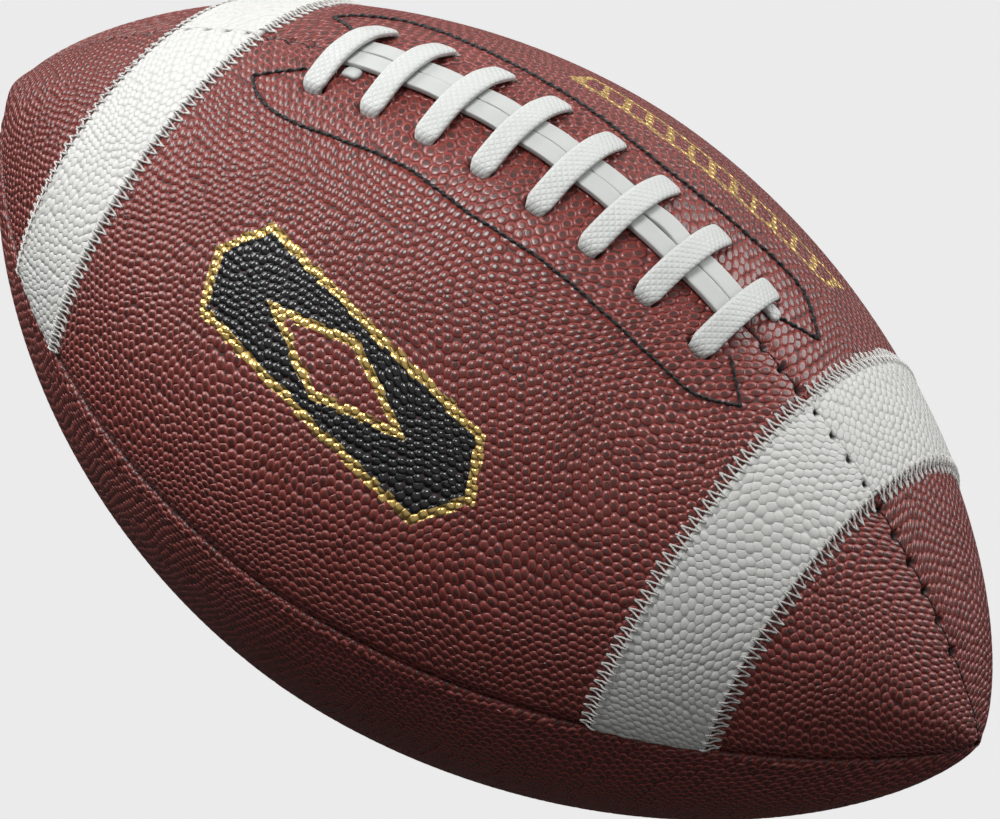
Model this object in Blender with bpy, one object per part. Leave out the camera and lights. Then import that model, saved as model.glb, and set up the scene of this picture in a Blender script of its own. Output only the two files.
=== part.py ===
"""American football: four sewn leather panels, lining, bladder, valve, stripes, stitching and lacing.

The origin is the centre of the ball, +X runs along its long axis and +Z points up through the lacing.
Angles go round the long axis from the lacing seam, first towards -Y.
"""

import math

import bmesh
import bpy
from mathutils import Matrix, Vector

MM = 0.001

# Outer skin
HALF_LENGTH = 145.0 * MM
BELLY_RADIUS = 82.4 * MM
SEAM_RISE = 1.55 * MM
PROFILE_POWER = 1.907
SEAM_EXPONENT = 0.770
PANEL_EXPONENT = 0.696
TIP_RADIUS = 1.2 * MM
TIP_THINNING = 6.0 * MM

# Leather and what lies under it
GAP = 0.3 * MM
LEATHER = 2.2 * MM
SEAM_ALLOWANCE = 2.8 * MM
SEAM_ALLOWANCE_ANGLE = 2.5
ALLOWANCE_STEP = 0.1
LINING = 0.8 * MM
LINING_EDGE_ANGLE = 4.5
BACKING = 1.4 * MM
BACKING_ANGLE = 20.5
LAYER_TOP = LEATHER + GAP
SEAM_THREAD_RADIUS = 0.4 * MM
SEAM_THREAD_DEPTH = LEATHER + SEAM_ALLOWANCE + GAP + SEAM_THREAD_RADIUS

# Stripes
STRIPE_START = 79.5 * MM
STRIPE_WIDTH = 22.5 * MM
STRIPE_END = STRIPE_START + STRIPE_WIDTH
STRIPE_RECESS = 0.5 * MM
STRIPE_LEATHER = 1.0 * MM
STRIPE_EDGE_ANGLE = 0.6
RECESS_WALL = 0.05 * MM
ZIGZAG_RADIUS = 0.35 * MM
ZIGZAG_ANGLE = 8.0
ZIGZAG_IN = 1.8 * MM
ZIGZAG_OUT = 2.6 * MM
ZIGZAG_SHOULDER = 0.7 * MM

# Cross laces and their slots
LACE_COUNT = 8
LACE_PITCH = 15.9 * MM
LACE_MIDDLE = 1.1 * MM
LACE_WIDTH = 6.3 * MM
LACE_THICKNESS = 1.8 * MM
LACE_ANGLE = 10.7
LACE_SLOT_SIDE = 0.45 * MM
LACE_SLOT_FACE = 1.25 * MM
SLOT_WIDTH = LACE_WIDTH + 2.0 * LACE_SLOT_SIDE
SLOT_HALF_ANGLE = math.degrees((0.5 * LACE_THICKNESS + LACE_SLOT_FACE) / BELLY_RADIUS)
SLOT_START_ANGLE = LACE_ANGLE - SLOT_HALF_ANGLE
SLOT_END_ANGLE = LACE_ANGLE + SLOT_HALF_ANGLE
LACE_FIRST = LACE_MIDDLE - 0.5 * (LACE_COUNT - 1) * LACE_PITCH
LACE_LAST = LACE_MIDDLE + 0.5 * (LACE_COUNT - 1) * LACE_PITCH
LACE_INNER_END = LAYER_TOP + BACKING + 0.6 * MM
BACKING_MARGIN = 5.0 * MM
BACKING_START = LACE_FIRST - 0.5 * SLOT_WIDTH - BACKING_MARGIN
BACKING_END = LACE_LAST + 0.5 * SLOT_WIDTH + BACKING_MARGIN

# Lace runs and tucked ends
RUN_WIDTH = 4.9 * MM
RUN_THICKNESS = 1.6 * MM
RUN_SPLIT = 0.5 * MM
RUN_OVERHANG = 7.2 * MM
LACE_END_THICKNESS = 1.0 * MM
LACE_END_WIDTH = 2.8 * MM
LACE_END_LENGTH = 4.2 * MM

# Guard strip between the lacing and the bladder
GUARD_ANGLE = 15.0
GUARD_THICKNESS = 1.0 * MM
GUARD_DEPTH = LACE_INNER_END + 0.7 * MM

# Outline stitches of the reinforcing strips
OUTLINE_RADIUS = 0.45 * MM
OUTLINE_REACH = 24.2 * MM
OUTLINE_TIP_REACH = 15.0 * MM
OUTLINE_END_REACH = 9.0 * MM

# Bladder
BLADDER_WALL = 1.0 * MM
BLADDER_ROOM = 1.2 * MM
BLADDER_TIP_GAP = 8.0 * MM
BLADDER_STEP = 15.0
BLADDER_DEPTH_AT_PANEL = LAYER_TOP + LINING + BLADDER_ROOM
BLADDER_DEPTH_AT_SEAM = BLADDER_ROOM + max(GUARD_DEPTH + GUARD_THICKNESS, SEAM_THREAD_DEPTH + SEAM_THREAD_RADIUS)

# Inflation valve, in the rear lower panel
VALVE_ANGLE = 225.0
VALVE_FACE_HEIGHT = 0.3 * MM
VALVE_NECK_RADIUS = 3.3 * MM
VALVE_HOLE_RADIUS = VALVE_NECK_RADIUS + 0.7 * MM
VALVE_HOLE_ANGLE = math.degrees(VALVE_HOLE_RADIUS / (BELLY_RADIUS - SEAM_RISE))
VALVE_FLANGE_RADIUS = VALVE_NECK_RADIUS + 4.7 * MM
VALVE_FLANGE_TOP = BLADDER_DEPTH_AT_PANEL + BLADDER_WALL + 1.7 * MM
VALVE_FLANGE_BOTTOM = VALVE_FLANGE_TOP + 1.2 * MM
VALVE_WALL = 0.7 * MM
VALVE_CORE_RADIUS = VALVE_NECK_RADIUS - VALVE_WALL
VALVE_FACE_WALL = 1.5 * MM
NEEDLE_RADIUS = 0.5 * MM

MATERIALS = {
    "brown_leather": ((0.20, 0.055, 0.035), 0.42),
    "white_leather": ((0.80, 0.78, 0.74), 0.50),
    "white_lace": ((0.84, 0.83, 0.80), 0.45),
    "white_thread": ((0.82, 0.80, 0.76), 0.70),
    "black_thread": ((0.02, 0.02, 0.02), 0.60),
    "brown_thread": ((0.12, 0.05, 0.04), 0.70),
    "lining_fabric": ((0.55, 0.53, 0.48), 0.85),
    "backing_leather": ((0.10, 0.05, 0.035), 0.75),
    "bladder_rubber": ((0.03, 0.03, 0.035), 0.55),
    "valve_rubber": ((0.05, 0.05, 0.05), 0.50),
    "valve_core_rubber": ((0.45, 0.36, 0.25), 0.60),
}


def clear_scene():
    for item in list(bpy.data.objects):
        bpy.data.objects.remove(item, do_unlink=True)


def material(name):
    found = bpy.data.materials.get(name)
    if found:
        return found
    colour, roughness = MATERIALS[name]
    made = bpy.data.materials.new(name)
    made.use_nodes = True
    shader = made.node_tree.nodes["Principled BSDF"]
    shader.inputs["Base Color"].default_value = (*colour, 1.0)
    shader.inputs["Roughness"].default_value = roughness
    return made


# ---------------------------------------------------------------- skin of the ball


def skin_radius(x, angle):
    """Distance of the skin from the long axis."""
    along = max(1.0 - (abs(x) / HALF_LENGTH) ** PROFILE_POWER, 0.0)
    at_seam = (BELLY_RADIUS + SEAM_RISE) * along**SEAM_EXPONENT
    at_panel = (BELLY_RADIUS - SEAM_RISE) * along**PANEL_EXPONENT
    square = math.cos(4.0 * math.radians(angle))
    return 0.5 * (at_seam + at_panel) + 0.5 * (at_seam - at_panel) * square


def skin_section(x, angle, depth):
    """Position along the axis and distance from it of a point a depth below the skin."""
    step = 0.01 * MM
    slope = (skin_radius(x + step, angle) - skin_radius(x - step, angle)) / (2.0 * step)
    length = math.hypot(slope, 1.0)
    return x + depth * slope / length, skin_radius(x, angle) - depth / length


def skin_point(x, angle, depth=0.0, side=0.0):
    """Point a depth below the skin, moved sideways round the axis by a distance."""
    along, radius = skin_section(x, angle, depth)
    turned = math.radians(angle) + math.asin(max(-1.0, min(1.0, side / radius)))
    return Vector((along, -radius * math.sin(turned), radius * math.cos(turned)))


def skin_along(x, angle):
    """Direction along the skin away from the middle of the ball."""
    step = 0.5 * MM
    return (skin_point(x + step, angle) - skin_point(x - step, angle)).normalized()


def tip_station():
    """Place along the axis where the skin has shrunk to the tip radius."""
    low, high = 0.0, HALF_LENGTH
    for _ in range(40):
        middle = 0.5 * (low + high)
        if skin_radius(middle, 0.0) > TIP_RADIUS:
            low = middle
        else:
            high = middle
    return low


def around_valve(x, angle):
    """Draw the corners of the square cell block at the valve in, so that its hole is eight-sided."""
    beside = angle % 360.0 - VALVE_ANGLE
    at_corner = abs(abs(x) - VALVE_HOLE_RADIUS) < 0.1 * MM and abs(abs(beside) - VALVE_HOLE_ANGLE) < 0.01
    if not at_corner:
        return x, angle
    return x * math.sqrt(0.5), VALVE_ANGLE + beside * math.sqrt(0.5)


def valve_cells(rows, angles):
    """Cells to leave out of a grid for the neck of the valve."""
    cells = set()
    for row, x in enumerate(rows):
        for column, angle in enumerate(angles):
            beside = angle % 360.0 - VALVE_ANGLE
            low_x = -VALVE_HOLE_RADIUS - 0.1 * MM < x < 0.1 * MM
            low_angle = -VALVE_HOLE_ANGLE - 0.01 < beside < 0.01
            if low_x and low_angle:
                cells.add((row, column))
    return cells


# ---------------------------------------------------------------- mesh builders


def make_root():
    root = bpy.data.objects.new("football", None)
    root.empty_display_size = 0.02
    bpy.context.collection.objects.link(root)


def add_object(name, vertices, faces, slot):
    """Object with its origin in the middle of its points, parented to the ball's empty."""
    middle = sum(vertices, Vector()) / len(vertices)
    mesh = bpy.data.meshes.new(name)
    mesh.from_pydata([tuple(point - middle) for point in vertices], [], faces)
    mesh.materials.append(material(slot))
    tidy = bmesh.new()
    tidy.from_mesh(mesh)
    bmesh.ops.recalc_face_normals(tidy, faces=tidy.faces)
    if tidy.calc_volume(signed=True) < 0.0:
        bmesh.ops.reverse_faces(tidy, faces=tidy.faces)
    tidy.to_mesh(mesh)
    tidy.free()
    mesh.shade_smooth()
    mesh.set_sharp_from_angle(angle=math.radians(35.0))
    made = bpy.data.objects.new(name, mesh)
    made.location = middle
    made.parent = bpy.data.objects["football"]
    bpy.context.collection.objects.link(made)
    return made


def grid_shell(name, outer, inner, slot, left_out=(), wrap=False):
    """Closed shell between two equal grids of points, walled wherever a cell is left out."""
    rows, columns = len(outer), len(outer[0])
    vertices = [point for row in outer for point in row]
    offset = len(vertices)
    vertices += [point for row in inner for point in row]

    def index(row, column):
        return row * columns + column % columns

    cells = []
    for row in range(rows - 1):
        for column in range(columns if wrap else columns - 1):
            if (row, column) not in left_out:
                ring = ((row, column), (row, column + 1), (row + 1, column + 1), (row + 1, column))
                cells.append([index(*corner) for corner in ring])
    if wrap:
        cells.append([index(0, column) for column in reversed(range(columns))])
        cells.append([index(rows - 1, column) for column in range(columns)])
    edges = {}
    for cell in cells:
        for first, second in zip(cell, cell[1:] + cell[:1]):
            edges[(first, second)] = cell
    faces = [list(cell) for cell in cells]
    faces += [[vertex + offset for vertex in reversed(cell)] for cell in cells]
    for first, second in edges:
        if (second, first) not in edges:
            faces.append([second, first, first + offset, second + offset])
    used = sorted({vertex for face in faces for vertex in face})
    renamed = {vertex: place for place, vertex in enumerate(used)}
    faces = [[renamed[vertex] for vertex in face] for face in faces]
    return add_object(name, [vertices[vertex] for vertex in used], faces, slot)


def sweep(name, path, normals, section, slot, binormals=None):
    """Closed bar with the given section carried along a path."""
    vertices = []
    sides = len(section)
    for place, centre in enumerate(path):
        before = path[max(place - 1, 0)]
        after = path[min(place + 1, len(path) - 1)]
        tangent = (after - before).normalized()
        if binormals:
            across = binormals[place]
        else:
            across = tangent.cross(normals[place]).normalized()
        up = across.cross(tangent).normalized()
        vertices += [centre + up * height + across * width for width, height in section]
    faces = []
    for place in range(len(path) - 1):
        for side in range(sides):
            following = (side + 1) % sides
            first = place * sides
            second = first + sides
            faces.append([first + side, first + following, second + following, second + side])
    faces.append(list(reversed(range(sides))))
    faces.append([len(vertices) - sides + side for side in range(sides)])
    return add_object(name, vertices, faces, slot)


def round_section(radius, sides):
    turns = [2.0 * math.pi * side / sides for side in range(sides)]
    return [(radius * math.cos(turn), radius * math.sin(turn)) for turn in turns]


def strap_section(width, thickness):
    """Flat strap with its four long edges bevelled."""
    half, rise = 0.5 * width, 0.5 * thickness
    bevel = 0.35 * thickness
    corners = [(half - bevel, rise), (half, rise - bevel), (half, bevel - rise), (half - bevel, -rise)]
    return corners + [(-width_, -height) for width_, height in corners]


def lathe(name, profile, slot, origin, axis, sides=24):
    """Ring turned from a closed profile of radius and height pairs."""
    turn = axis.to_track_quat("Z", "Y").to_matrix().to_4x4()
    place = Matrix.Translation(origin) @ turn
    vertices = []
    count = len(profile)
    for side in range(sides):
        angle = 2.0 * math.pi * side / sides
        for radius, height in profile:
            vertices.append(place @ Vector((radius * math.cos(angle), radius * math.sin(angle), height)))
    faces = []
    for side in range(sides):
        first = side * count
        second = ((side + 1) % sides) * count
        for corner in range(count):
            following = (corner + 1) % count
            faces.append([first + corner, second + corner, second + following, first + following])
    return add_object(name, vertices, faces, slot)


# ---------------------------------------------------------------- stations of the grids


def mirrored(stations):
    """The stations on the -X side, followed by the same on the +X side."""
    return [-x for x in reversed(stations)] + list(stations)


def lace_stations():
    return [LACE_FIRST + number * LACE_PITCH for number in range(LACE_COUNT)]


def tip_rows():
    """Stations from the outer edge of the stripe recess to the tip, closer together towards the tip."""
    start = STRIPE_END + GAP + RECESS_WALL
    reach = tip_station() - start
    return [start + reach * share for share in (0.18, 0.39, 0.58, 0.73, 0.85, 0.93, 0.977, 1.0)]


def body_rows():
    """Stations from beside the valve to the middle of the stripe."""
    rows = [STRIPE_START * share for share in (0.24, 0.48, 0.72, 0.94)]
    return rows + [0.5 * (STRIPE_START + STRIPE_END)]


def recess_rows():
    """Stations across one stripe recess, doubled at its two walls."""
    inner = STRIPE_START - GAP
    outer = STRIPE_END + GAP
    return [inner - RECESS_WALL, inner, 0.5 * (inner + outer), outer, outer + RECESS_WALL]


def in_recess(x):
    half = 0.5 * STRIPE_WIDTH + GAP + 0.5 * RECESS_WALL
    return abs(abs(x) - STRIPE_START - 0.5 * STRIPE_WIDTH) < half


def laced_rows():
    """Stations of a panel beside the lacing, with a pair at every lace slot."""
    slots = []
    for centre in lace_stations():
        slots += [centre - 0.5 * SLOT_WIDTH, centre + 0.5 * SLOT_WIDTH]
    ends = recess_rows() + tip_rows()
    return [-x for x in reversed(ends)] + [BACKING_START] + slots + [BACKING_END] + ends


def plain_rows():
    return mirrored(body_rows() + tip_rows())


def valve_rows(rows):
    """The same stations with three more across the neck of the valve."""
    return sorted(list(rows) + [-VALVE_HOLE_RADIUS, 0.0, VALVE_HOLE_RADIUS])


ALLOWANCE_FOOT = SEAM_ALLOWANCE_ANGLE + ALLOWANCE_STEP
LACED_COLUMNS = (ALLOWANCE_FOOT, SLOT_START_ANGLE, SLOT_END_ANGLE, 23.0, 35.0, 47.0, 59.0, 71.0, 80.0)
MIDDLE_COLUMNS = (45.0 - VALVE_HOLE_ANGLE, 45.0, 45.0 + VALVE_HOLE_ANGLE)
PLAIN_COLUMNS = (ALLOWANCE_FOOT, 13.0, 25.0, 35.0) + MIDDLE_COLUMNS + (55.0, 65.0, 77.0)


# ---------------------------------------------------------------- leather panels and lining


def allowance_depth(x, at_lacing):
    """Depth of the turned-in edge: none along the lacing, thinning out towards the tips."""
    if at_lacing and BACKING_START - GAP < x < BACKING_END + GAP:
        return LEATHER
    start = tip_rows()[1]
    fade = min(max((abs(x) - start) / (0.55 * (tip_station() - start)), 0.0), 1.0)
    return LEATHER + SEAM_ALLOWANCE * (1.0 - fade) - 0.2 * LEATHER * fade


def field_depth(x):
    fade = min(max((abs(x) - tip_station()) / TIP_THINNING + 1.0, 0.0), 1.0)
    return LEATHER * (1.0 - 0.45 * fade)


def panel_turns(columns):
    """Turns from a panel's first seam, with its turned-in edges at both ends."""
    last = 90.0 - SEAM_ALLOWANCE_ANGLE
    return (0.0, SEAM_ALLOWANCE_ANGLE) + columns + (last - ALLOWANCE_STEP, last, 90.0)


def panel_grids(rows, columns, start, mirror, laced):
    """Outer and inner points of the panel that starts at one seam and spans a quarter turn."""
    turns = panel_turns(columns)
    outer, inner = [], []
    for x in rows:
        outer_row, inner_row = [], []
        for number, turn in enumerate(turns):
            edge = 0.5 * GAP if number == 0 else -0.5 * GAP if number == len(turns) - 1 else 0.0
            angle = start - turn if mirror else start + turn
            side = -edge if mirror else edge
            recess = STRIPE_RECESS if laced and in_recess(x) else 0.0
            spot = around_valve(x, angle)
            outer_row.append(skin_point(*spot, recess, side))
            near_start = number <= 1
            near_end = number >= len(turns) - 2
            if near_start or near_end:
                depth = allowance_depth(x, laced and near_start)
            else:
                depth = field_depth(x)
            inner_row.append(skin_point(*spot, depth, side))
        outer.append(outer_row)
        inner.append(inner_row)
    return outer, inner


def slot_cells(rows, first_column):
    cells = set()
    for centre in lace_stations():
        row = min(range(len(rows)), key=lambda place: abs(rows[place] - (centre - 0.5 * SLOT_WIDTH)))
        cells.add((row, first_column))
    return cells


def make_panels():
    rows = laced_rows()
    slots = slot_cells(rows, panel_turns(LACED_COLUMNS).index(SLOT_START_ANGLE))
    for name, mirror in (("panel_upper_front", False), ("panel_upper_rear", True)):
        outer, inner = panel_grids(rows, LACED_COLUMNS, 0.0, mirror, True)
        grid_shell(name, outer, inner, "brown_leather", slots)
    rows = valve_rows(plain_rows())
    hole = valve_cells(rows, [180.0 + turn for turn in panel_turns(PLAIN_COLUMNS)])
    outer, inner = panel_grids(rows, PLAIN_COLUMNS, 180.0, True, False)
    grid_shell("panel_lower_front", outer, inner, "brown_leather")
    outer, inner = panel_grids(rows, PLAIN_COLUMNS, 180.0, False, False)
    grid_shell("panel_lower_rear", outer, inner, "brown_leather", hole)


def layer(name, xs, turns, start, mirror, top, thickness, slot, left_out=()):
    """Sheet of even thickness between two depths, on given stations and turns from a seam."""
    outer, inner = [], []
    for x in xs:
        angles = [start - turn if mirror else start + turn for turn in turns]
        spots = [around_valve(x, angle) for angle in angles]
        outer.append([skin_point(*spot, top) for spot in spots])
        inner.append([skin_point(*spot, top + thickness) for spot in spots])
    return grid_shell(name, outer, inner, slot, left_out)


def make_linings():
    rows = valve_rows(mirrored(body_rows() + tip_rows()[:2]))
    laced = LACED_COLUMNS[3:] + (90.0 - LINING_EDGE_ANGLE,)
    plain = (LINING_EDGE_ANGLE,) + PLAIN_COLUMNS[1:] + (90.0 - LINING_EDGE_ANGLE,)
    hole = valve_cells(rows, [180.0 + turn for turn in plain])
    layer("lining_upper_front", rows, laced, 0.0, False, LAYER_TOP, LINING, "lining_fabric")
    layer("lining_upper_rear", rows, laced, 0.0, True, LAYER_TOP, LINING, "lining_fabric")
    layer("lining_lower_front", rows, plain, 180.0, True, LAYER_TOP, LINING, "lining_fabric")
    layer("lining_lower_rear", rows, plain, 180.0, False, LAYER_TOP, LINING, "lining_fabric", hole)


def make_backings():
    """Reinforcing strips under the leather along both sides of the lacing."""
    rows = [x for x in laced_rows() if BACKING_START <= x <= BACKING_END]
    turns = (1.0, 5.0, SLOT_START_ANGLE, SLOT_END_ANGLE, BACKING_ANGLE)
    slots = slot_cells(rows, turns.index(SLOT_START_ANGLE))
    for name, mirror in (("lace_backing_front", False), ("lace_backing_rear", True)):
        layer(name, rows, turns, 0.0, mirror, LAYER_TOP, BACKING, "backing_leather", slots)


def make_guard():
    """Guard strip between the lacing and the bladder."""
    steps = 8
    rows = [BACKING_START + (BACKING_END - BACKING_START) * step / steps for step in range(steps + 1)]
    turns = [GUARD_ANGLE * place / 2.0 for place in range(-2, 3)]
    layer("bladder_guard", rows, turns, 0.0, False, GUARD_DEPTH, GUARD_THICKNESS, "backing_leather")


# ---------------------------------------------------------------- stripes


def make_stripe(name, side, mirror):
    xs = [STRIPE_START, 0.5 * (STRIPE_START + STRIPE_END), STRIPE_END]
    xs = xs if side > 0 else [-x for x in reversed(xs)]
    turns = (STRIPE_EDGE_ANGLE,) + LACED_COLUMNS + (90.0 - STRIPE_EDGE_ANGLE,)
    top = STRIPE_RECESS - GAP - STRIPE_LEATHER
    layer(name, xs, turns, 0.0, mirror, top, STRIPE_LEATHER, "white_leather")


def make_zigzag(name, side, mirror, edge, inward):
    """Thread sewn to and fro across one edge of a stripe."""
    high = STRIPE_LEATHER + GAP - STRIPE_RECESS + GAP + ZIGZAG_RADIUS
    low = 1.3 * GAP + ZIGZAG_RADIUS
    legs = ((ZIGZAG_IN, high), (-ZIGZAG_SHOULDER, high), (-ZIGZAG_OUT, low), (-ZIGZAG_SHOULDER, high))
    margin = 2.0
    steps = int((90.0 - 2.0 * margin) / ZIGZAG_ANGLE * len(legs))
    path, normals = [], []
    for step in range(steps + 1):
        reach, height = legs[step % len(legs)]
        turn = margin + (90.0 - 2.0 * margin) * step / steps
        x = side * (edge + inward * reach)
        angle = -turn if mirror else turn
        point = skin_point(x, angle, -height)
        path.append(point)
        normals.append((point - skin_point(x, angle, 0.0)).normalized())
    sweep(name, path, normals, round_section(ZIGZAG_RADIUS, 3), "white_thread")


def make_stripes():
    for end, side in (("fore", 1), ("aft", -1)):
        for place, mirror in (("front", False), ("rear", True)):
            make_stripe(f"stripe_{end}_{place}", side, mirror)
            make_zigzag(f"stripe_stitch_{end}_{place}_inner", side, mirror, STRIPE_START, 1)
            make_zigzag(f"stripe_stitch_{end}_{place}_outer", side, mirror, STRIPE_END, -1)


# ---------------------------------------------------------------- lacing


def make_cross_laces():
    """Cross laces arch over the two runs and go down through the slots at both sides."""
    over_runs = GAP + RUN_THICKNESS + GAP + 0.5 * LACE_THICKNESS
    half_path = [
        (LACE_ANGLE, -LACE_INNER_END),
        (LACE_ANGLE, -1.0 * MM),
        (LACE_ANGLE - 0.2, 0.8 * MM),
        (LACE_ANGLE - 1.2, 2.1 * MM),
        (LACE_ANGLE - 3.0, over_runs),
        (LACE_ANGLE - 6.5, over_runs + 0.4 * MM),
        (0.0, over_runs + 0.5 * MM),
    ]
    whole = half_path + [(-angle, height) for angle, height in reversed(half_path[:-1])]
    section = strap_section(LACE_WIDTH, LACE_THICKNESS)
    for number, x in enumerate(lace_stations()):
        path = [skin_point(x, angle, -height) for angle, height in whole]
        across = [skin_along(x, angle) for angle, _ in whole]
        sweep(f"cross_lace_{number + 1}", path, None, section, "white_lace", across)


def make_lace_runs():
    """Two flat laces lying side by side under the cross laces."""
    section = strap_section(RUN_WIDTH, RUN_THICKNESS)
    start, stop = LACE_FIRST - RUN_OVERHANG, LACE_LAST + RUN_OVERHANG
    steps = 16
    for name, side in (("lace_run_front", -1.0), ("lace_run_rear", 1.0)):
        path = []
        for step in range(steps + 1):
            x = start + (stop - start) * step / steps
            height = skin_radius(x, 0.0) + GAP + 0.5 * RUN_THICKNESS
            path.append(Vector((x, side * 0.5 * (RUN_WIDTH + RUN_SPLIT), height)))
        across = [Vector((0.0, 1.0, 0.0))] * len(path)
        sweep(name, path, None, section, "white_lace", across)


def make_lace_ends():
    """Folded ends of the laces, tucked in beside the runs next to the first and last cross laces."""
    beside_run = RUN_WIDTH + 0.5 * RUN_SPLIT + 1.3 * GAP + 0.5 * LACE_END_WIDTH
    beside_lace = 0.5 * LACE_WIDTH + 2.3 * GAP
    starts = {
        "lace_end_fore": (LACE_LAST + beside_lace, beside_run),
        "lace_end_aft": (LACE_FIRST + beside_lace, -beside_run),
    }
    for name, (start, y) in starts.items():
        path, across = [], []
        for x in (start, start + 0.5 * LACE_END_LENGTH, start + LACE_END_LENGTH):
            radius = skin_radius(x, 5.0)
            angle = -math.degrees(math.asin(y / radius))
            path.append(skin_point(x, angle, -(GAP + 0.5 * LACE_END_THICKNESS)))
            across.append(Vector((0.0, 1.0, -y / radius)).normalized())
        sweep(name, path, None, strap_section(LACE_END_WIDTH, LACE_END_THICKNESS), "white_lace", across)


# ---------------------------------------------------------------- threads


def outline_corners():
    """Corners of a reinforcing strip's outline, as places along the axis and reach from the seam."""
    aft_tip = LACE_FIRST - 0.63 * (STRIPE_START + LACE_FIRST)
    fore_tip = LACE_LAST + 0.63 * (STRIPE_START - LACE_LAST)
    middle = [LACE_FIRST + (LACE_LAST - LACE_FIRST) * share for share in (0.0, 0.15, 0.32, 0.5, 0.68, 0.85, 1.0)]
    corners = [(0.35 * aft_tip + 0.65 * LACE_FIRST, OUTLINE_END_REACH), (aft_tip, OUTLINE_TIP_REACH)]
    corners.append((0.65 * aft_tip + 0.35 * LACE_FIRST, 0.5 * (OUTLINE_TIP_REACH + OUTLINE_REACH)))
    corners += [(x, OUTLINE_REACH) for x in middle]
    corners.append((0.5 * (fore_tip + LACE_LAST), 0.5 * (OUTLINE_TIP_REACH + OUTLINE_REACH) + 1.5 * MM))
    return corners + [(fore_tip, OUTLINE_TIP_REACH), (0.4 * fore_tip + 0.6 * LACE_LAST, OUTLINE_END_REACH)]


def make_outline_stitches():
    """Black lockstitch that holds each reinforcing strip, following its outline on the leather."""
    height = GAP + OUTLINE_RADIUS + 0.25 * MM
    for name, side in (("outline_stitch_front", 1.0), ("outline_stitch_rear", -1.0)):
        path, normals = [], []
        for x, reach in outline_corners():
            angle = side * math.degrees(reach / skin_radius(x, 15.0))
            point = skin_point(x, angle, -height)
            path.append(point)
            normals.append((point - skin_point(x, angle)).normalized())
        sweep(name, path, normals, round_section(OUTLINE_RADIUS, 5), "black_thread")


def make_seam_threads():
    """Heavy thread that joins the turned-in panel edges inside the ball."""
    end = tip_rows()[1]
    clear = 10.0 * MM
    spans = {
        "seam_thread_upper_fore": (0.0, BACKING_END + clear, end),
        "seam_thread_upper_aft": (0.0, -end, BACKING_START - clear),
        "seam_thread_front": (90.0, -end, end),
        "seam_thread_rear": (-90.0, -end, end),
        "seam_thread_lower": (180.0, -end, end),
    }
    for name, (angle, start, stop) in spans.items():
        steps = max(4, round((stop - start) / (16.0 * MM)))
        path, normals = [], []
        for step in range(steps + 1):
            x = start + (stop - start) * step / steps
            point = skin_point(x, angle, SEAM_THREAD_DEPTH)
            path.append(point)
            normals.append((skin_point(x, angle) - point).normalized())
        sweep(name, path, normals, round_section(SEAM_THREAD_RADIUS, 4), "brown_thread")


# ---------------------------------------------------------------- bladder and valve


def make_bladder():
    """Hollow bladder with a hole for the neck of the valve."""
    reach = HALF_LENGTH - BLADDER_TIP_GAP
    shares = (0.125, 0.28, 0.42, 0.56, 0.69, 0.81, 0.905, 0.964, 1.0)
    xs = valve_rows(mirrored([reach * share for share in shares]))
    turns = [BLADDER_STEP * number for number in range(round(360.0 / BLADDER_STEP))]
    turns += [VALVE_ANGLE - VALVE_HOLE_ANGLE, VALVE_ANGLE + VALVE_HOLE_ANGLE]
    turns.sort()
    outer, inner = [], []
    for x in xs:
        outer_row, inner_row = [], []
        for turn in turns:
            seam = math.cos(2.0 * math.radians(turn)) ** 2
            depth = BLADDER_DEPTH_AT_PANEL + (BLADDER_DEPTH_AT_SEAM - BLADDER_DEPTH_AT_PANEL) * seam
            spot = around_valve(x, turn)
            outer_row.append(skin_point(*spot, depth))
            inner_row.append(skin_point(*spot, depth + BLADDER_WALL))
        outer.append(outer_row)
        inner.append(inner_row)
    grid_shell("bladder", outer, inner, "bladder_rubber", valve_cells(xs, turns), wrap=True)


def make_valve():
    origin = skin_point(0.0, VALVE_ANGLE)
    axis = Vector((0.0, origin.y, origin.z)).normalized()
    housing = [
        (NEEDLE_RADIUS, VALVE_FACE_HEIGHT),
        (VALVE_NECK_RADIUS, VALVE_FACE_HEIGHT),
        (VALVE_NECK_RADIUS, -VALVE_FLANGE_TOP),
        (VALVE_FLANGE_RADIUS, -VALVE_FLANGE_TOP),
        (VALVE_FLANGE_RADIUS, -VALVE_FLANGE_BOTTOM),
        (VALVE_CORE_RADIUS, -VALVE_FLANGE_BOTTOM),
        (VALVE_CORE_RADIUS, VALVE_FACE_HEIGHT - VALVE_FACE_WALL),
        (NEEDLE_RADIUS, VALVE_FACE_HEIGHT - VALVE_FACE_WALL),
    ]
    lathe("valve_housing", housing, "valve_rubber", origin, axis)
    core_top = VALVE_FACE_HEIGHT - VALVE_FACE_WALL - GAP
    core = [
        (NEEDLE_RADIUS, core_top),
        (VALVE_CORE_RADIUS - GAP, core_top),
        (VALVE_CORE_RADIUS - GAP, -VALVE_FLANGE_BOTTOM),
        (NEEDLE_RADIUS, -VALVE_FLANGE_BOTTOM),
    ]
    lathe("valve_core", core, "valve_core_rubber", origin, axis)


def main():
    clear_scene()
    make_root()
    make_panels()
    make_linings()
    make_backings()
    make_guard()
    make_stripes()
    make_cross_laces()
    make_lace_runs()
    make_lace_ends()
    make_outline_stitches()
    make_seam_threads()
    make_bladder()
    make_valve()


main()
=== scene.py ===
"""Laced leather football: pebbled panels, sewn stripes, lacing, stitching, valve and a plain stage.

The origin is the middle of the ball, +X runs along its long axis and +Z points up through the lacing.
Angles are in degrees round the long axis, from the lacing seam towards -Y.
"""

import math

import bmesh
import bpy
import numpy as np
from bpy.props import FloatProperty, FloatVectorProperty, IntProperty, PointerProperty
from mathutils import Matrix, Vector


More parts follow.
